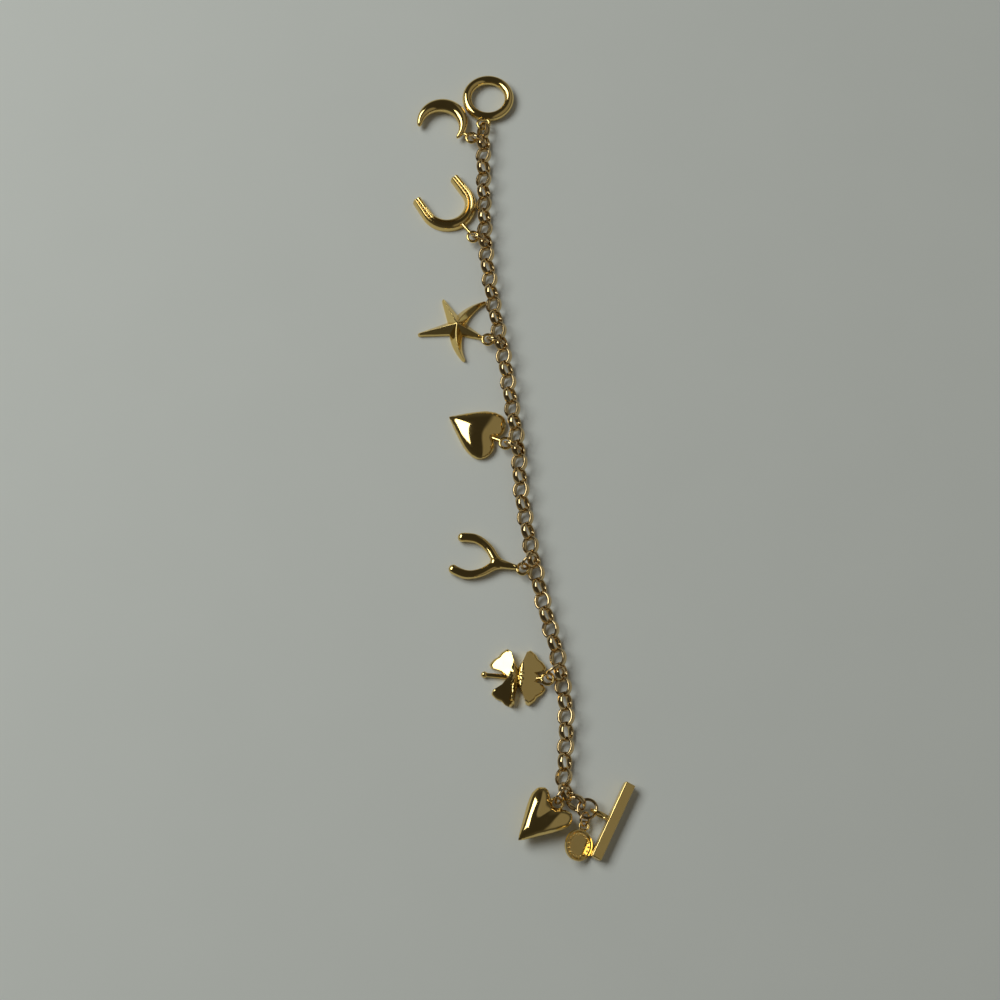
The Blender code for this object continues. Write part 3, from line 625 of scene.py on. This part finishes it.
def star_arm(way, length, bend, steps=32):
    """A roof-shaped arm with a rounded crest, from the middle of the star to its tip."""
    heading = math.radians(way)
    run, left = along(heading), along(heading + math.pi / 2)
    rings = []
    for i in range(steps + 1):
        t = i / steps
        close = math.sqrt(max(1 - (max(t - 0.95, 0.0) / 0.052) ** 2, 0.02))
        half = close * (STAR_WAIST + (STAR_TIP_WIDTH / 2 - STAR_WAIST) * t ** 0.9)
        ridge = STAR_PEAK + (STAR_TIP_HEIGHT - STAR_PEAK) * t ** 0.8
        wall = STAR_WALL * (1 - 0.2 * t)
        ridge = wall + (ridge - wall) * close
        middle = t * length * run + bend * length * 4 * t * (1 - t) * left
        slope = [(-1.0, 0.0), (-0.98, 0.55 * wall), (-0.95, 0.86 * wall), (-STAR_EAVES, wall)]
        for share in (0.66, 0.4, 0.16, 0.10, 0.07, 0.04, 0.02, 0.0):
            crest = 0.5 * max(STAR_CREST - share, 0.0) ** 2 / STAR_CREST
            slope.append((-share, ridge + (wall - ridge) * (share + crest) / STAR_EAVES))
        slope += [(-share, high) for share, high in reversed(slope[:-1])]
        rings.append([middle + share * half * left + high * UP for share, high in slope])
    return from_rings(rings)


def starfish(height, reach):
    arms = [star_arm(*arm) for arm in STAR_ARMS]
    for arm in arms:
        arm.location.x = reach
    arm_reach = STAR_ARMS[0][1] - NECK_BITE
    return fuse([*arms, charm_eye(height), stem(height, reach - arm_reach, STAR_WALL)])


# Half of each heart's outline from the cleft to the tip: shares of its length and half width
FLAT_HEART_OUTLINE = [
    #  length  half width
    (0.13, 0.00), (0.03, 0.20), (0.00, 0.48), (0.06, 0.83),
    (0.22, 1.00), (0.46, 0.86), (0.72, 0.48), (0.92, 0.14),
]
PUFFED_HEART_OUTLINE = [
    #  length  half width
    (0.17, 0.00), (0.09, 0.24), (0.02, 0.52), (0.00, 0.74),
    (0.09, 0.96), (0.24, 0.98), (0.46, 0.76), (0.70, 0.44), (0.91, 0.15),
]


def heart_line(outline, length, width, per_span=9):
    """The heart's outline as one ring, its lobes at X = 0 and its tip at +X."""
    half = [Vector((x * length, y * width / 2, 0.0)) for x, y in outline]
    half.append(Vector((length, 0.0, 0.0)))
    upper = smooth_line(half, per_span)
    lower = [Vector((p.x, -p.y, 0.0)) for p in reversed(upper[1:-1])]
    return upper + lower


def inside(outline, x, y):
    """Whether a point lies inside an outline, by counting the edges it crosses."""
    crossed = False
    for a, b in zip(outline, outline[1:] + outline[:1]):
        if (a.y > y) != (b.y > y) and x < a.x + (y - a.y) / (b.y - a.y) * (b.x - a.x):
            crossed = not crossed
    return crossed


def pillow(outline, cells=56, rounds=900):
    """How a skin swells over an outline, from 0 at its edge to 1 at its highest."""
    low_x, low_y = min(p.x for p in outline), min(p.y for p in outline)
    size = max(max(p.x for p in outline) - low_x, max(p.y for p in outline) - low_y)
    step = size / (cells - 4)
    x_of = low_x - 2 * step + step * np.arange(cells)
    y_of = low_y - 2 * step + step * np.arange(cells)
    mask = np.array([[inside(outline, x, y) for y in y_of] for x in x_of], dtype=float)
    swell = np.zeros((cells, cells))
    for _ in range(rounds):
        around = (np.roll(swell, 1, 0) + np.roll(swell, -1, 0)
                  + np.roll(swell, 1, 1) + np.roll(swell, -1, 1))
        swell = mask * (around + 1.0) / 4
    swell /= swell.max()

    def rise(p):
        u, v = (p.x - x_of[0]) / step, (p.y - y_of[0]) / step
        i, j = min(max(int(u), 0), cells - 2), min(max(int(v), 0), cells - 2)
        u, v = u - i, v - j
        return float((1 - u) * (1 - v) * swell[i, j] + u * (1 - v) * swell[i + 1, j]
                     + (1 - u) * v * swell[i, j + 1] + u * v * swell[i + 1, j + 1])
    return rise


def drawn_in(outline, crown, share):
    return [crown + share * (p - crown) for p in outline]


def swollen(outline, crown, rim, dome, levels=26):
    """Rings from an outline's edge to its crown, raised by the pillow over that outline."""
    rise = pillow(outline)
    rings = []
    for k in range(1, levels):
        share = math.cos(math.pi / 2 * k / levels)
        edge = math.sqrt(1 - share ** 2)
        ring = []
        for p in drawn_in(outline, crown, share):
            high = max(rise(p), 0.35 * edge ** 2 * (1 - share)) ** HEART_SWELL
            ring.append(p + (rim + dome * high) * UP)
        rings.append(ring)
    rings.append([crown + (rim + dome * rise(crown) ** HEART_SWELL) * UP])
    return rings


def flat_heart(height, reach):
    """A heart with a flat back, a low wall and a swollen face."""
    outline = heart_line(FLAT_HEART_OUTLINE, FLAT_HEART_LENGTH, FLAT_HEART_WIDTH)
    crown = Vector((FLAT_HEART_CROWN * FLAT_HEART_LENGTH, 0.0, 0.0))
    soft = 0.1 * MM
    rings = [[crown], drawn_in(outline, crown, 0.985)]
    for share, high in ((1.0, soft), (1.0, FLAT_HEART_RIM - soft)):
        rings.append([p + high * UP for p in drawn_in(outline, crown, share)])
    heart = from_rings(rings + swollen(outline, crown, FLAT_HEART_RIM, FLAT_HEART_DOME))
    heart.location.x = reach - FLAT_HEART_OUTLINE[0][0] * FLAT_HEART_LENGTH
    return fuse([heart, charm_eye(height), stem(height, reach + CLEFT_BITE, FLAT_HEART_RIM)])


def puffed_heart(height, reach):
    """A heart swollen on both sides, with a valley that runs out of its cleft."""
    outline = heart_line(PUFFED_HEART_OUTLINE, PUFFED_HEART_LENGTH, PUFFED_HEART_WIDTH)
    crown = Vector((PUFFED_HEART_CROWN * PUFFED_HEART_LENGTH, 0.0, 0.0))
    middle = PUFFED_HEART_THICKNESS / 2
    upper = swollen(outline, crown, middle, middle)
    for ring in upper:
        for p in ring:
            fade = max(0.0, 1.0 - (p.x / PUFFED_HEART_LENGTH - VALLEY_START) / VALLEY_LENGTH)
            p.z -= VALLEY_DEPTH * (p.z - middle) * fade * math.exp(-(p.y / VALLEY_WIDTH) ** 2)
    lower = [[Vector((p.x, p.y, 2 * middle - p.z)) for p in ring] for ring in reversed(upper)]
    heart = from_rings(lower + [[p + middle * UP for p in outline]] + upper)
    heart.location.x = reach - PUFFED_HEART_OUTLINE[0][0] * PUFFED_HEART_LENGTH
    return fuse([heart, charm_eye(height), stem(height, reach + CLEFT_BITE, middle)])


# One arm of the wishbone from its root to its tip: shares of its length, its spread and its bar
BONE_ARM = [
    #  length  spread  bar
    (-0.05, 0.02, 1.00), (0.10, 0.20, 1.00), (0.28, 0.62, 0.95), (0.48, 0.90, 0.95),
    (0.66, 1.00, 1.00), (0.84, 0.95, 1.00), (0.93, 0.89, 1.00),
]


def wishbone(height, reach):
    """Two arms out of one neck, all of a softly squared bar."""
    middle = BONE_THICKNESS / 2
    root = reach + BONE_STEM
    neck = [Vector((EYE_RADIUS, 0, height)), Vector((reach + 0.4 * BONE_STEM, 0, middle * 1.3)),
            Vector((root, 0, middle * 1.12)), Vector((root + 0.1 * BONE_LENGTH, 0, middle * 1.12))]
    shares = [Vector((share * middle, 0, 0)) for share in (0.5, 0.75, 1.1, 1.1)]
    neck_radii = [r.x for r in smooth_line(shares, 8)]
    pieces = [sweep(smooth_line(neck, 8), neck_radii, 32, BONE_SQUARE)]
    for side in (-1, 1):
        points = [Vector((root + x * BONE_LENGTH, side * y * BONE_SPREAD / 2, middle))
                  for x, y, _ in BONE_ARM]
        line = smooth_line(points, 8)
        radii = smooth_line([Vector((bar * middle, 0.0, 0.0)) for _, _, bar in BONE_ARM], 8)
        pieces.append(sweep(line, [r.x for r in radii], 32, BONE_SQUARE))
    return fuse([*pieces, charm_eye(height)])


# A leaf of the clover, from one side to the other: shares of half its spread and of its radius
LEAF_EDGE = [
    #  turn   radius
    (-1.00, 0.62), (-0.98, 0.92), (-0.80, 1.00), (-0.40, 0.98), (0.00, 0.93),
    (0.40, 0.98), (0.80, 1.00), (0.98, 0.92), (1.00, 0.62),
]

# Height of the ridges beside the clover's middle line and how far from it they run
LEAF_RIDGE = 2.6 * MM
LEAF_RIDGE_OFF = 0.9 * MM
LEAF_VALLEY = 0.8 * MM

# Fall of the twisted leaf, out from the ridge and away from the stalk
LEAF_TWIST = (0.10, 0.27)

# Leaves of the clover: way each one points and how deep the notch after it comes to the middle
LEAVES = [
    #  way    notch
    (61.0,   1.9 * MM),
    (139.5,  5.6 * MM),
    (226.0,  1.9 * MM),
    (316.5,  2.2 * MM),
]


def leaf_radius(turn):
    """The leaf's radius at a turn from its middle, read smoothly off its edge."""
    for (a, low), (b, high) in zip(LEAF_EDGE, LEAF_EDGE[1:]):
        if turn <= b:
            t = (turn - a) / (b - a)
            return low + (high - low) * t * t * (3 - 2 * t)
    return LEAF_EDGE[-1][1]


def leaf_height(p):
    """Height of a leaf's face: high beside the middle line, falling away to both sides; the
    outer leaf on the +Y side falls sideways as well."""
    off = abs(p.x) - LEAF_RIDGE_OFF
    if off < 0.0:
        return LEAF_RIDGE + LEAF_VALLEY * off / LEAF_RIDGE_OFF
    fall = off * (LEAF_RIDGE - 1.1 * LEAF_WALL) / (LEAF_RADIUS - LEAF_RIDGE_OFF)
    if p.x > 0.0:
        fall = max(fall, LEAF_TWIST[0] * off + LEAF_TWIST[1] * p.y)
    return LEAF_RIDGE - fall


def clover_rings():
    """The four folded leaves as one skin: foot, wall, rounded edge and the faces to the middle."""
    turns = [-1.0, -0.99, -0.98, -0.94, -0.88, -0.80, -0.65, -0.5, -0.35, -0.2, -0.1]
    turns += [0.0] + [-t for t in reversed(turns)]
    foot = []
    for (way, notch), (next_way, _) in zip(LEAVES, LEAVES[1:] + LEAVES[:1]):
        heading = math.radians(way)
        for turn in turns:
            foot.append(leaf_radius(turn) * LEAF_RADIUS * along(heading + turn * LEAF_SPREAD / 2))
        foot.append(notch * along(heading + math.radians((next_way - way) % 360.0) / 2))
    rings = [[p.copy() for p in foot]]
    for inset, drop in ((0.0, 0.5), (0.03, 0.22), (0.07, 0.07), (0.11, 0.0)):
        ring = []
        for p in foot:
            q = p * (1 - inset)
            q.z = leaf_height(q) * (1 - drop)
            ring.append(q)
        rings.append(ring)
    for share in (0.8, 0.7, 0.6, 0.5, 0.4, 0.3, 0.2, 0.1):
        ring = []
        for p in foot:
            q = p * share
            q.z = leaf_height(q)
            ring.append(q)
        rings.append(ring)
    return [[0.0 * UP]] + rings + [[leaf_height(0.0 * UP) * UP]]


def clover(height, reach):
    """The leaves, a stalk with a ball at its end and the eye; they reach into one another."""
    leaves = from_rings(clover_rings())
    middle = 0.75 * LEAF_WALL
    line = [Vector((0, 0, middle)), Vector((CLOVER_STEM_LENGTH, 0, middle))]
    stalk = sweep(line, [CLOVER_STEM_RADIUS, CLOVER_STEM_RADIUS])
    tip = ball(CLOVER_BALL_RADIUS, line[1] + (CLOVER_BALL_RADIUS - middle) * UP)
    for piece in (leaves, stalk, tip):
        piece.location.x += reach
    return join([leaves, stalk, tip, charm_eye(height),
                 stem(height, reach - 0.6 * LEAF_JOIN, middle)])


CHARMS = {
    "crescent": crescent, "horseshoe": horseshoe, "starfish": starfish, "flat_heart": flat_heart,
    "wishbone": wishbone, "clover": clover, "puffed_heart": puffed_heart,
}


def hung_charms(frames):
    """Every charm and its jump ring, placed on its link."""
    made = {}
    across = (LINK_WIDTH - LINK_WIRE) / 2
    steep_links = frames[1::2]
    for name, (steep, turn, lean, heading, reach) in HANGINGS.items():
        middle, run, cross = steep_links[steep]
        ring_place, eye_wire, out = hang(
            middle + across * cross, run.cross(UP), math.radians(turn), math.radians(lean),
            LINK_BAND, JUMP_RADIUS, JUMP_WIRE, EYE_WIRE)
        ring = wire_ring(JUMP_RADIUS, JUMP_WIRE, joint=0.36)
        ring.matrix_world = ring_place
        way = along(math.radians(heading))
        charm = CHARMS[name](eye_wire.z, reach)
        eye_middle = eye_wire + EYE_RADIUS * out
        charm.matrix_world = axes(way, UP.cross(way), Vector((eye_middle.x, eye_middle.y, 0.0)))
        made[name + "_jump_ring"] = ring
        made[name + "_charm"] = charm
    return made


# Clasp

def bar_eye_reach():
    """From the bar's axis to the middle of its eye."""
    return BAR_SIDE / 2 + BAR_EYE_RADIUS + BAR_EYE_STRETCH - SOLDER_BITE


def bar_eye_height():
    """Height of the eye's middle, with the bar standing on one edge."""
    axis = BAR_SIDE / 2 * (math.cos(BAR_ROLL) + math.sin(BAR_ROLL))
    return axis + bar_eye_reach() * math.sin(BAR_ROLL)


def bar_eye_play():
    """How far the end ring's wire can move from the middle of the bar's eye."""
    return BAR_EYE_RADIUS - (BAR_EYE_WIRE + END_RING_WIRE) / 2 - PLAY


def toggle_ring_middle(frames):
    """The middles of the clasp's ring and of its eye."""
    middle, run, _ = frames[0]
    to_wire = (LINK_PITCH - LINK_BITE) / 2 - CLASP_SLACK - TOGGLE_EYE_WIRE / 2
    eye_middle = middle - (to_wire + TOGGLE_EYE_RADIUS) * run
    centre_distance = TOGGLE_RADIUS + TOGGLE_TUBE / 2 + TOGGLE_EYE_RADIUS - SOLDER_BITE
    ring_middle = eye_middle + centre_distance * along(TOGGLE_HEADING)
    return Vector((ring_middle.x, ring_middle.y, TOGGLE_TUBE / 2)), eye_middle


def clasp(frames):
    ring_middle, eye_middle = toggle_ring_middle(frames)
    eye = wire_ring(TOGGLE_EYE_RADIUS, TOGGLE_EYE_WIRE)
    eye.location = eye_middle
    ring = wire_ring(TOGGLE_RADIUS, TOGGLE_TUBE, steps=120, sides=36)
    ring.location = ring_middle

    middle, run, _ = frames[-1]
    to_wire = (LINK_PITCH - LINK_BITE) / 2 - CLASP_SLACK - END_RING_WIRE / 2
    end_middle = middle + (to_wire + END_RING_RADIUS) * run
    end_middle.z = bar_eye_height() - BAR_EYE_SEAT * bar_eye_play()
    end_ring = wire_ring(END_RING_RADIUS, END_RING_WIRE, joint=0.9)
    end_ring.location = end_middle
    return {"toggle_ring": fuse([ring, eye]), "toggle_jump_ring": end_ring,
            "toggle_bar": toggle_bar(end_middle)}, end_middle


def toggle_bar(end_middle):
    """The bar rolled on one edge, its eye on the side that faces the chain."""
    out = along(BAR_HEADING)
    eye_way = -math.cos(BAR_ROLL) * out + math.sin(BAR_ROLL) * UP
    off = bar_eye_play() * math.sqrt(1 - BAR_EYE_SEAT ** 2) + BAR_EYE_STRETCH
    eye_middle = end_middle + (END_RING_RADIUS + off) * out
    eye_middle.z = bar_eye_height()
    bar_middle = eye_middle - bar_eye_reach() * eye_way
    eye = wire_ring(BAR_EYE_RADIUS, BAR_EYE_WIRE, stretch=BAR_EYE_STRETCH)
    upright = math.cos(BAR_ROLL) * UP + math.sin(BAR_ROLL) * out
    eye.matrix_world = axes(eye_way, upright, eye_middle)
    shape = bmesh.new()
    bmesh.ops.create_cube(shape, size=1.0, matrix=Matrix.Diagonal(
        (BAR_SIDE, BAR_SIDE, BAR_LENGTH, 1.0)))
    mesh = bpy.data.meshes.new("bar")
    shape.to_mesh(mesh)
    shape.free()
    bar = mesh_object("bar", mesh)
    edges = bar.modifiers.new("soft edges", "BEVEL")
    edges.width = BAR_EDGE
    edges.segments = 5
    bar.matrix_world = axes(eye_way, upright, bar_middle)
    return fuse([bar, eye])


def tag(height):
    """A coin with a rim and a ring of beads on one edge, its eye's middle over the origin."""
    rim = TAG_RADIUS - TAG_RIM
    top = TAG_THICKNESS
    face = top - TAG_RIM_HEIGHT
    soft = 0.08 * MM
    profile = [(rim - TAG_RIM_HEIGHT - soft, face), (rim - TAG_RIM_HEIGHT, face + soft),
               (rim - soft, top - soft), (rim, top), (TAG_RADIUS - soft, top),
               (TAG_RADIUS, top - soft), (TAG_RADIUS, soft), (TAG_RADIUS - soft, 0.0)]
    rings = [[face * UP]]
    for x, z in profile:
        rings.append([x * along(math.tau * k / 72) + z * UP for k in range(72)])
    coin = from_rings(rings + [[0.0 * UP]])
    beads = []
    for k in range(TAG_BEADS):
        place = (rim - 2.1 * TAG_BEAD_RADIUS) * along(math.tau * (k + 0.5) / TAG_BEADS)
        beads.append(ball(TAG_BEAD_RADIUS, place + face * UP, TAG_BEAD_HEIGHT / TAG_BEAD_RADIUS))
    beads = join(beads)
    reach = TAG_RADIUS + TAG_EYE_RADIUS + TAG_EYE_WIRE / 2
    lift = TAG_RADIUS * math.sin(abs(TAG_TILT))
    for piece in (coin, beads):
        piece.location = (reach, 0.0, lift)
        piece.rotation_euler.x = TAG_TILT
    eye = wire_ring(TAG_EYE_RADIUS, TAG_EYE_WIRE)
    eye.location.z = height
    root = Vector((reach - rim, 0.0, lift + 0.5 * top))
    neck = sweep([Vector((TAG_EYE_RADIUS, 0.0, height)), root], [TAG_NECK_RADIUS] * 2, 16)
    return join([coin, beads, eye, neck])


def hung_tag(end_middle):
    out = along(TAG_HEADING)
    wire = end_middle + END_RING_RADIUS * out
    ring_place, eye_wire, out = hang(wire, out, 0.0, TAG_RING_LEAN, END_RING_WIRE,
                                     TAG_RING_RADIUS, TAG_RING_WIRE, TAG_EYE_WIRE)
    ring = wire_ring(TAG_RING_RADIUS, TAG_RING_WIRE, joint=0.1)
    ring.matrix_world = ring_place
    charm = tag(eye_wire.z)
    eye_middle = eye_wire + TAG_EYE_RADIUS * out
    charm.matrix_world = axes(out, UP.cross(out), Vector((eye_middle.x, eye_middle.y, 0.0)))
    return {"round_tag_jump_ring": ring, "round_tag": charm}


# Materials

def noise(nodes, links, vector, scale, detail):
    """A noise texture read at a vector's output."""
    texture = nodes.new("ShaderNodeTexNoise")
    texture.inputs["Scale"].default_value = scale
    texture.inputs["Detail"].default_value = detail
    links.new(vector, texture.inputs["Vector"])
    return texture.outputs["Fac"]


def bump(nodes, links, height, strength, distance):
    relief = nodes.new("ShaderNodeBump")
    relief.inputs["Strength"].default_value = strength
    relief.inputs["Distance"].default_value = distance
    links.new(height, relief.inputs["Height"])
    return relief


def two_tones(nodes, links, factor, light, deep):
    """A colour that goes from the light tone to the deep one by a factor."""
    tone = nodes.new("ShaderNodeMix")
    tone.data_type = "RGBA"
    tone.inputs["A"].default_value = (*light, 1.0)
    tone.inputs["B"].default_value = (*deep, 1.0)
    links.new(factor, tone.inputs["Factor"])
    return tone.outputs["Result"]


def polished_gold(name, light, deep, roughness):
    """Polished gold plating: two near tones in soft clouds, buffing haze, hairlines and a skin
    that isn't quite even, as on small castings."""
    material = bpy.data.materials.new(name)
    material.use_nodes = True
    nodes, links = material.node_tree.nodes, material.node_tree.links
    shader = nodes["Principled BSDF"]
    shader.inputs["Metallic"].default_value = 1.0
    place = nodes.new("ShaderNodeTexCoord")

    clouds = noise(nodes, links, place.outputs["Object"], 260.0, 3.0)
    links.new(two_tones(nodes, links, clouds, light, deep), shader.inputs["Base Color"])

    haze = noise(nodes, links, place.outputs["Object"], 900.0, 4.0)
    spread = nodes.new("ShaderNodeMapRange")
    spread.inputs["From Min"].default_value = 0.3
    spread.inputs["From Max"].default_value = 0.7
    spread.inputs["To Min"].default_value = roughness * 0.7
    spread.inputs["To Max"].default_value = roughness * 1.5
    links.new(haze, spread.inputs["Value"])
    links.new(spread.outputs["Result"], shader.inputs["Roughness"])

    skin = noise(nodes, links, place.outputs["Object"], 420.0, 1.0)
    uneven = bump(nodes, links, skin, 0.15, 0.05 * MM)

    stretch = nodes.new("ShaderNodeMapping")
    stretch.inputs["Rotation"].default_value = (0.3, 0.2, 0.7)
    stretch.inputs["Scale"].default_value = (1.0, 14.0, 6.0)
    links.new(place.outputs["Object"], stretch.inputs["Vector"])
    hairs = noise(nodes, links, stretch.outputs["Vector"], 900.0, 2.0)
    scratches = bump(nodes, links, hairs, 0.08, 0.01 * MM)
    links.new(uneven.outputs["Normal"], scratches.inputs["Normal"])
    links.new(scratches.outputs["Normal"], shader.inputs["Normal"])
    return material


def table_top():
    """A pale painted table with a faint mottle."""
    material = bpy.data.materials.new("pale_table")
    material.use_nodes = True
    nodes, links = material.node_tree.nodes, material.node_tree.links
    shader = nodes["Principled BSDF"]
    shader.inputs["Roughness"].default_value = 0.55
    shader.inputs["Specular IOR Level"].default_value = 0.3
    place = nodes.new("ShaderNodeTexCoord")
    mottle = noise(nodes, links, place.outputs["Object"], 40.0, 5.0)
    links.new(two_tones(nodes, links, mottle, TABLE_LIGHT, TABLE_DEEP), shader.inputs["Base Color"])
    shape = bmesh.new()
    bmesh.ops.create_grid(shape, x_segments=1, y_segments=1, size=TABLE_HALF)
    mesh = bpy.data.meshes.new("table_top")
    shape.to_mesh(mesh)
    shape.free()
    top = mesh_object("table_top", mesh)
    top.data.materials.append(material)


# Stage

def soft_light():
    """A dim room, paler up on the right, with one wide window high on the left."""
    world = bpy.data.worlds.new("dim_room")
    bpy.context.scene.world = world
    world.use_nodes = True
    nodes, links = world.node_tree.nodes, world.node_tree.links
    way = nodes.new("ShaderNodeTexCoord")
    parts = nodes.new("ShaderNodeSeparateXYZ")
    links.new(way.outputs["Generated"], parts.inputs["Vector"])

    walls = nodes.new("ShaderNodeValToRGB")
    links.new(parts.outputs["Z"], walls.inputs["Fac"])
    ramp = walls.color_ramp
    ramp.elements[0].position = 0.0
    ramp.elements[0].color = ROOM_LOW
    ramp.elements[1].position = 0.6
    ramp.elements[1].color = ROOM_HIGH

    patch = nodes.new("ShaderNodeMath")
    patch.operation = "MULTIPLY"
    for slot, (axis, start, end) in enumerate((("X", 0.18, 0.34), ("Z", 0.2, 0.5))):
        share = nodes.new("ShaderNodeMapRange")
        share.interpolation_type = "SMOOTHSTEP"
        share.inputs["From Min"].default_value = start
        share.inputs["From Max"].default_value = end
        links.new(parts.outputs[axis], share.inputs["Value"])
        links.new(share.outputs["Result"], patch.inputs[slot])
    room = nodes.new("ShaderNodeMix")
    room.data_type = "RGBA"
    links.new(patch.outputs["Value"], room.inputs["Factor"])
    links.new(walls.outputs["Color"], room.inputs["A"])
    room.inputs["B"].default_value = ROOM_RIGHT
    background = nodes["Background"]
    links.new(room.outputs["Result"], background.inputs["Color"])
    background.inputs["Strength"].default_value = 1.0

    window = bpy.data.lights.new("window", "AREA")
    window.shape = "RECTANGLE"
    window.size = WINDOW_WIDTH
    window.size_y = WINDOW_HEIGHT
    window.energy = WINDOW_POWER
    window.color = WINDOW_COLOR
    lamp = bpy.data.objects.new("window", window)
    bpy.context.scene.collection.objects.link(lamp)
    place = WINDOW_DISTANCE * (math.cos(WINDOW_ELEVATION) * along(WINDOW_AZIMUTH)
                               + math.sin(WINDOW_ELEVATION) * UP)
    lamp.location = place
    lamp.rotation_mode = "QUATERNION"
    facing = -place.normalized()
    sideways = facing.cross(UP).normalized()
    turn = Matrix((sideways, sideways.cross(facing), -facing)).transposed()
    lamp.rotation_quaternion = turn.to_quaternion()


def photo_camera(shift):
    """The camera of the photo, tilted back a little and aimed near the middle of the bracelet."""
    lens = bpy.data.cameras.new("photo_camera")
    lens.lens = LENS_MM
    lens.sensor_width = 36.0
    camera = bpy.data.objects.new("photo_camera", lens)
    bpy.context.scene.collection.objects.link(camera)
    camera.location = (shift.x, shift.y - CAMERA_HEIGHT * math.tan(CAMERA_TILT),
                       shift.z + CAMERA_HEIGHT)
    camera.rotation_euler = (CAMERA_TILT, 0.0, 0.0)
    bpy.context.scene.camera = camera


# Pieces of the chain's rosier gold; all others take the charms' gold
CHAIN_PIECES = ("chain", "jump_ring")


def build():
    """Every piece in its place and dressed; gives the shift from the route's frame to the CAD's."""
    frames = link_frames()
    parts = {"chain": chain(frames)}
    clasp_parts, end_middle = clasp(frames)
    parts.update(clasp_parts)
    parts.update(hung_charms(frames))
    parts.update(hung_tag(end_middle))
    bpy.context.view_layer.update()

    _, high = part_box("toggle_ring")
    reach = TOGGLE_RADIUS + TOGGLE_TUBE / 2
    middle, _ = toggle_ring_middle(frames)
    shift = Vector((high.x - reach - middle.x, high.y - reach - middle.y, 0.0))
    charm_gold = polished_gold("charm_gold", *CHARM_GOLD)
    chain_gold = polished_gold("chain_gold", *CHAIN_GOLD)
    for name, ob in parts.items():
        ob.data.transform(Matrix.Translation(shift) @ ob.matrix_world)
        ob.matrix_world = Matrix.Identity(4)
        ob.name = name + "_finish"
        ob.data.name = name
        of_chain = any(word in name for word in CHAIN_PIECES)
        ob.data.materials.clear()
        ob.data.materials.append(chain_gold if of_chain else charm_gold)
        ob.data.shade_smooth()
        ob.data.set_sharp_from_angle(angle=math.radians(32.0))
        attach(ob, "root")
        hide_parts(name)
    return shift


shift = build()
table_top()
soft_light()
photo_camera(shift)
bpy.context.scene.view_settings.view_transform = "Standard"
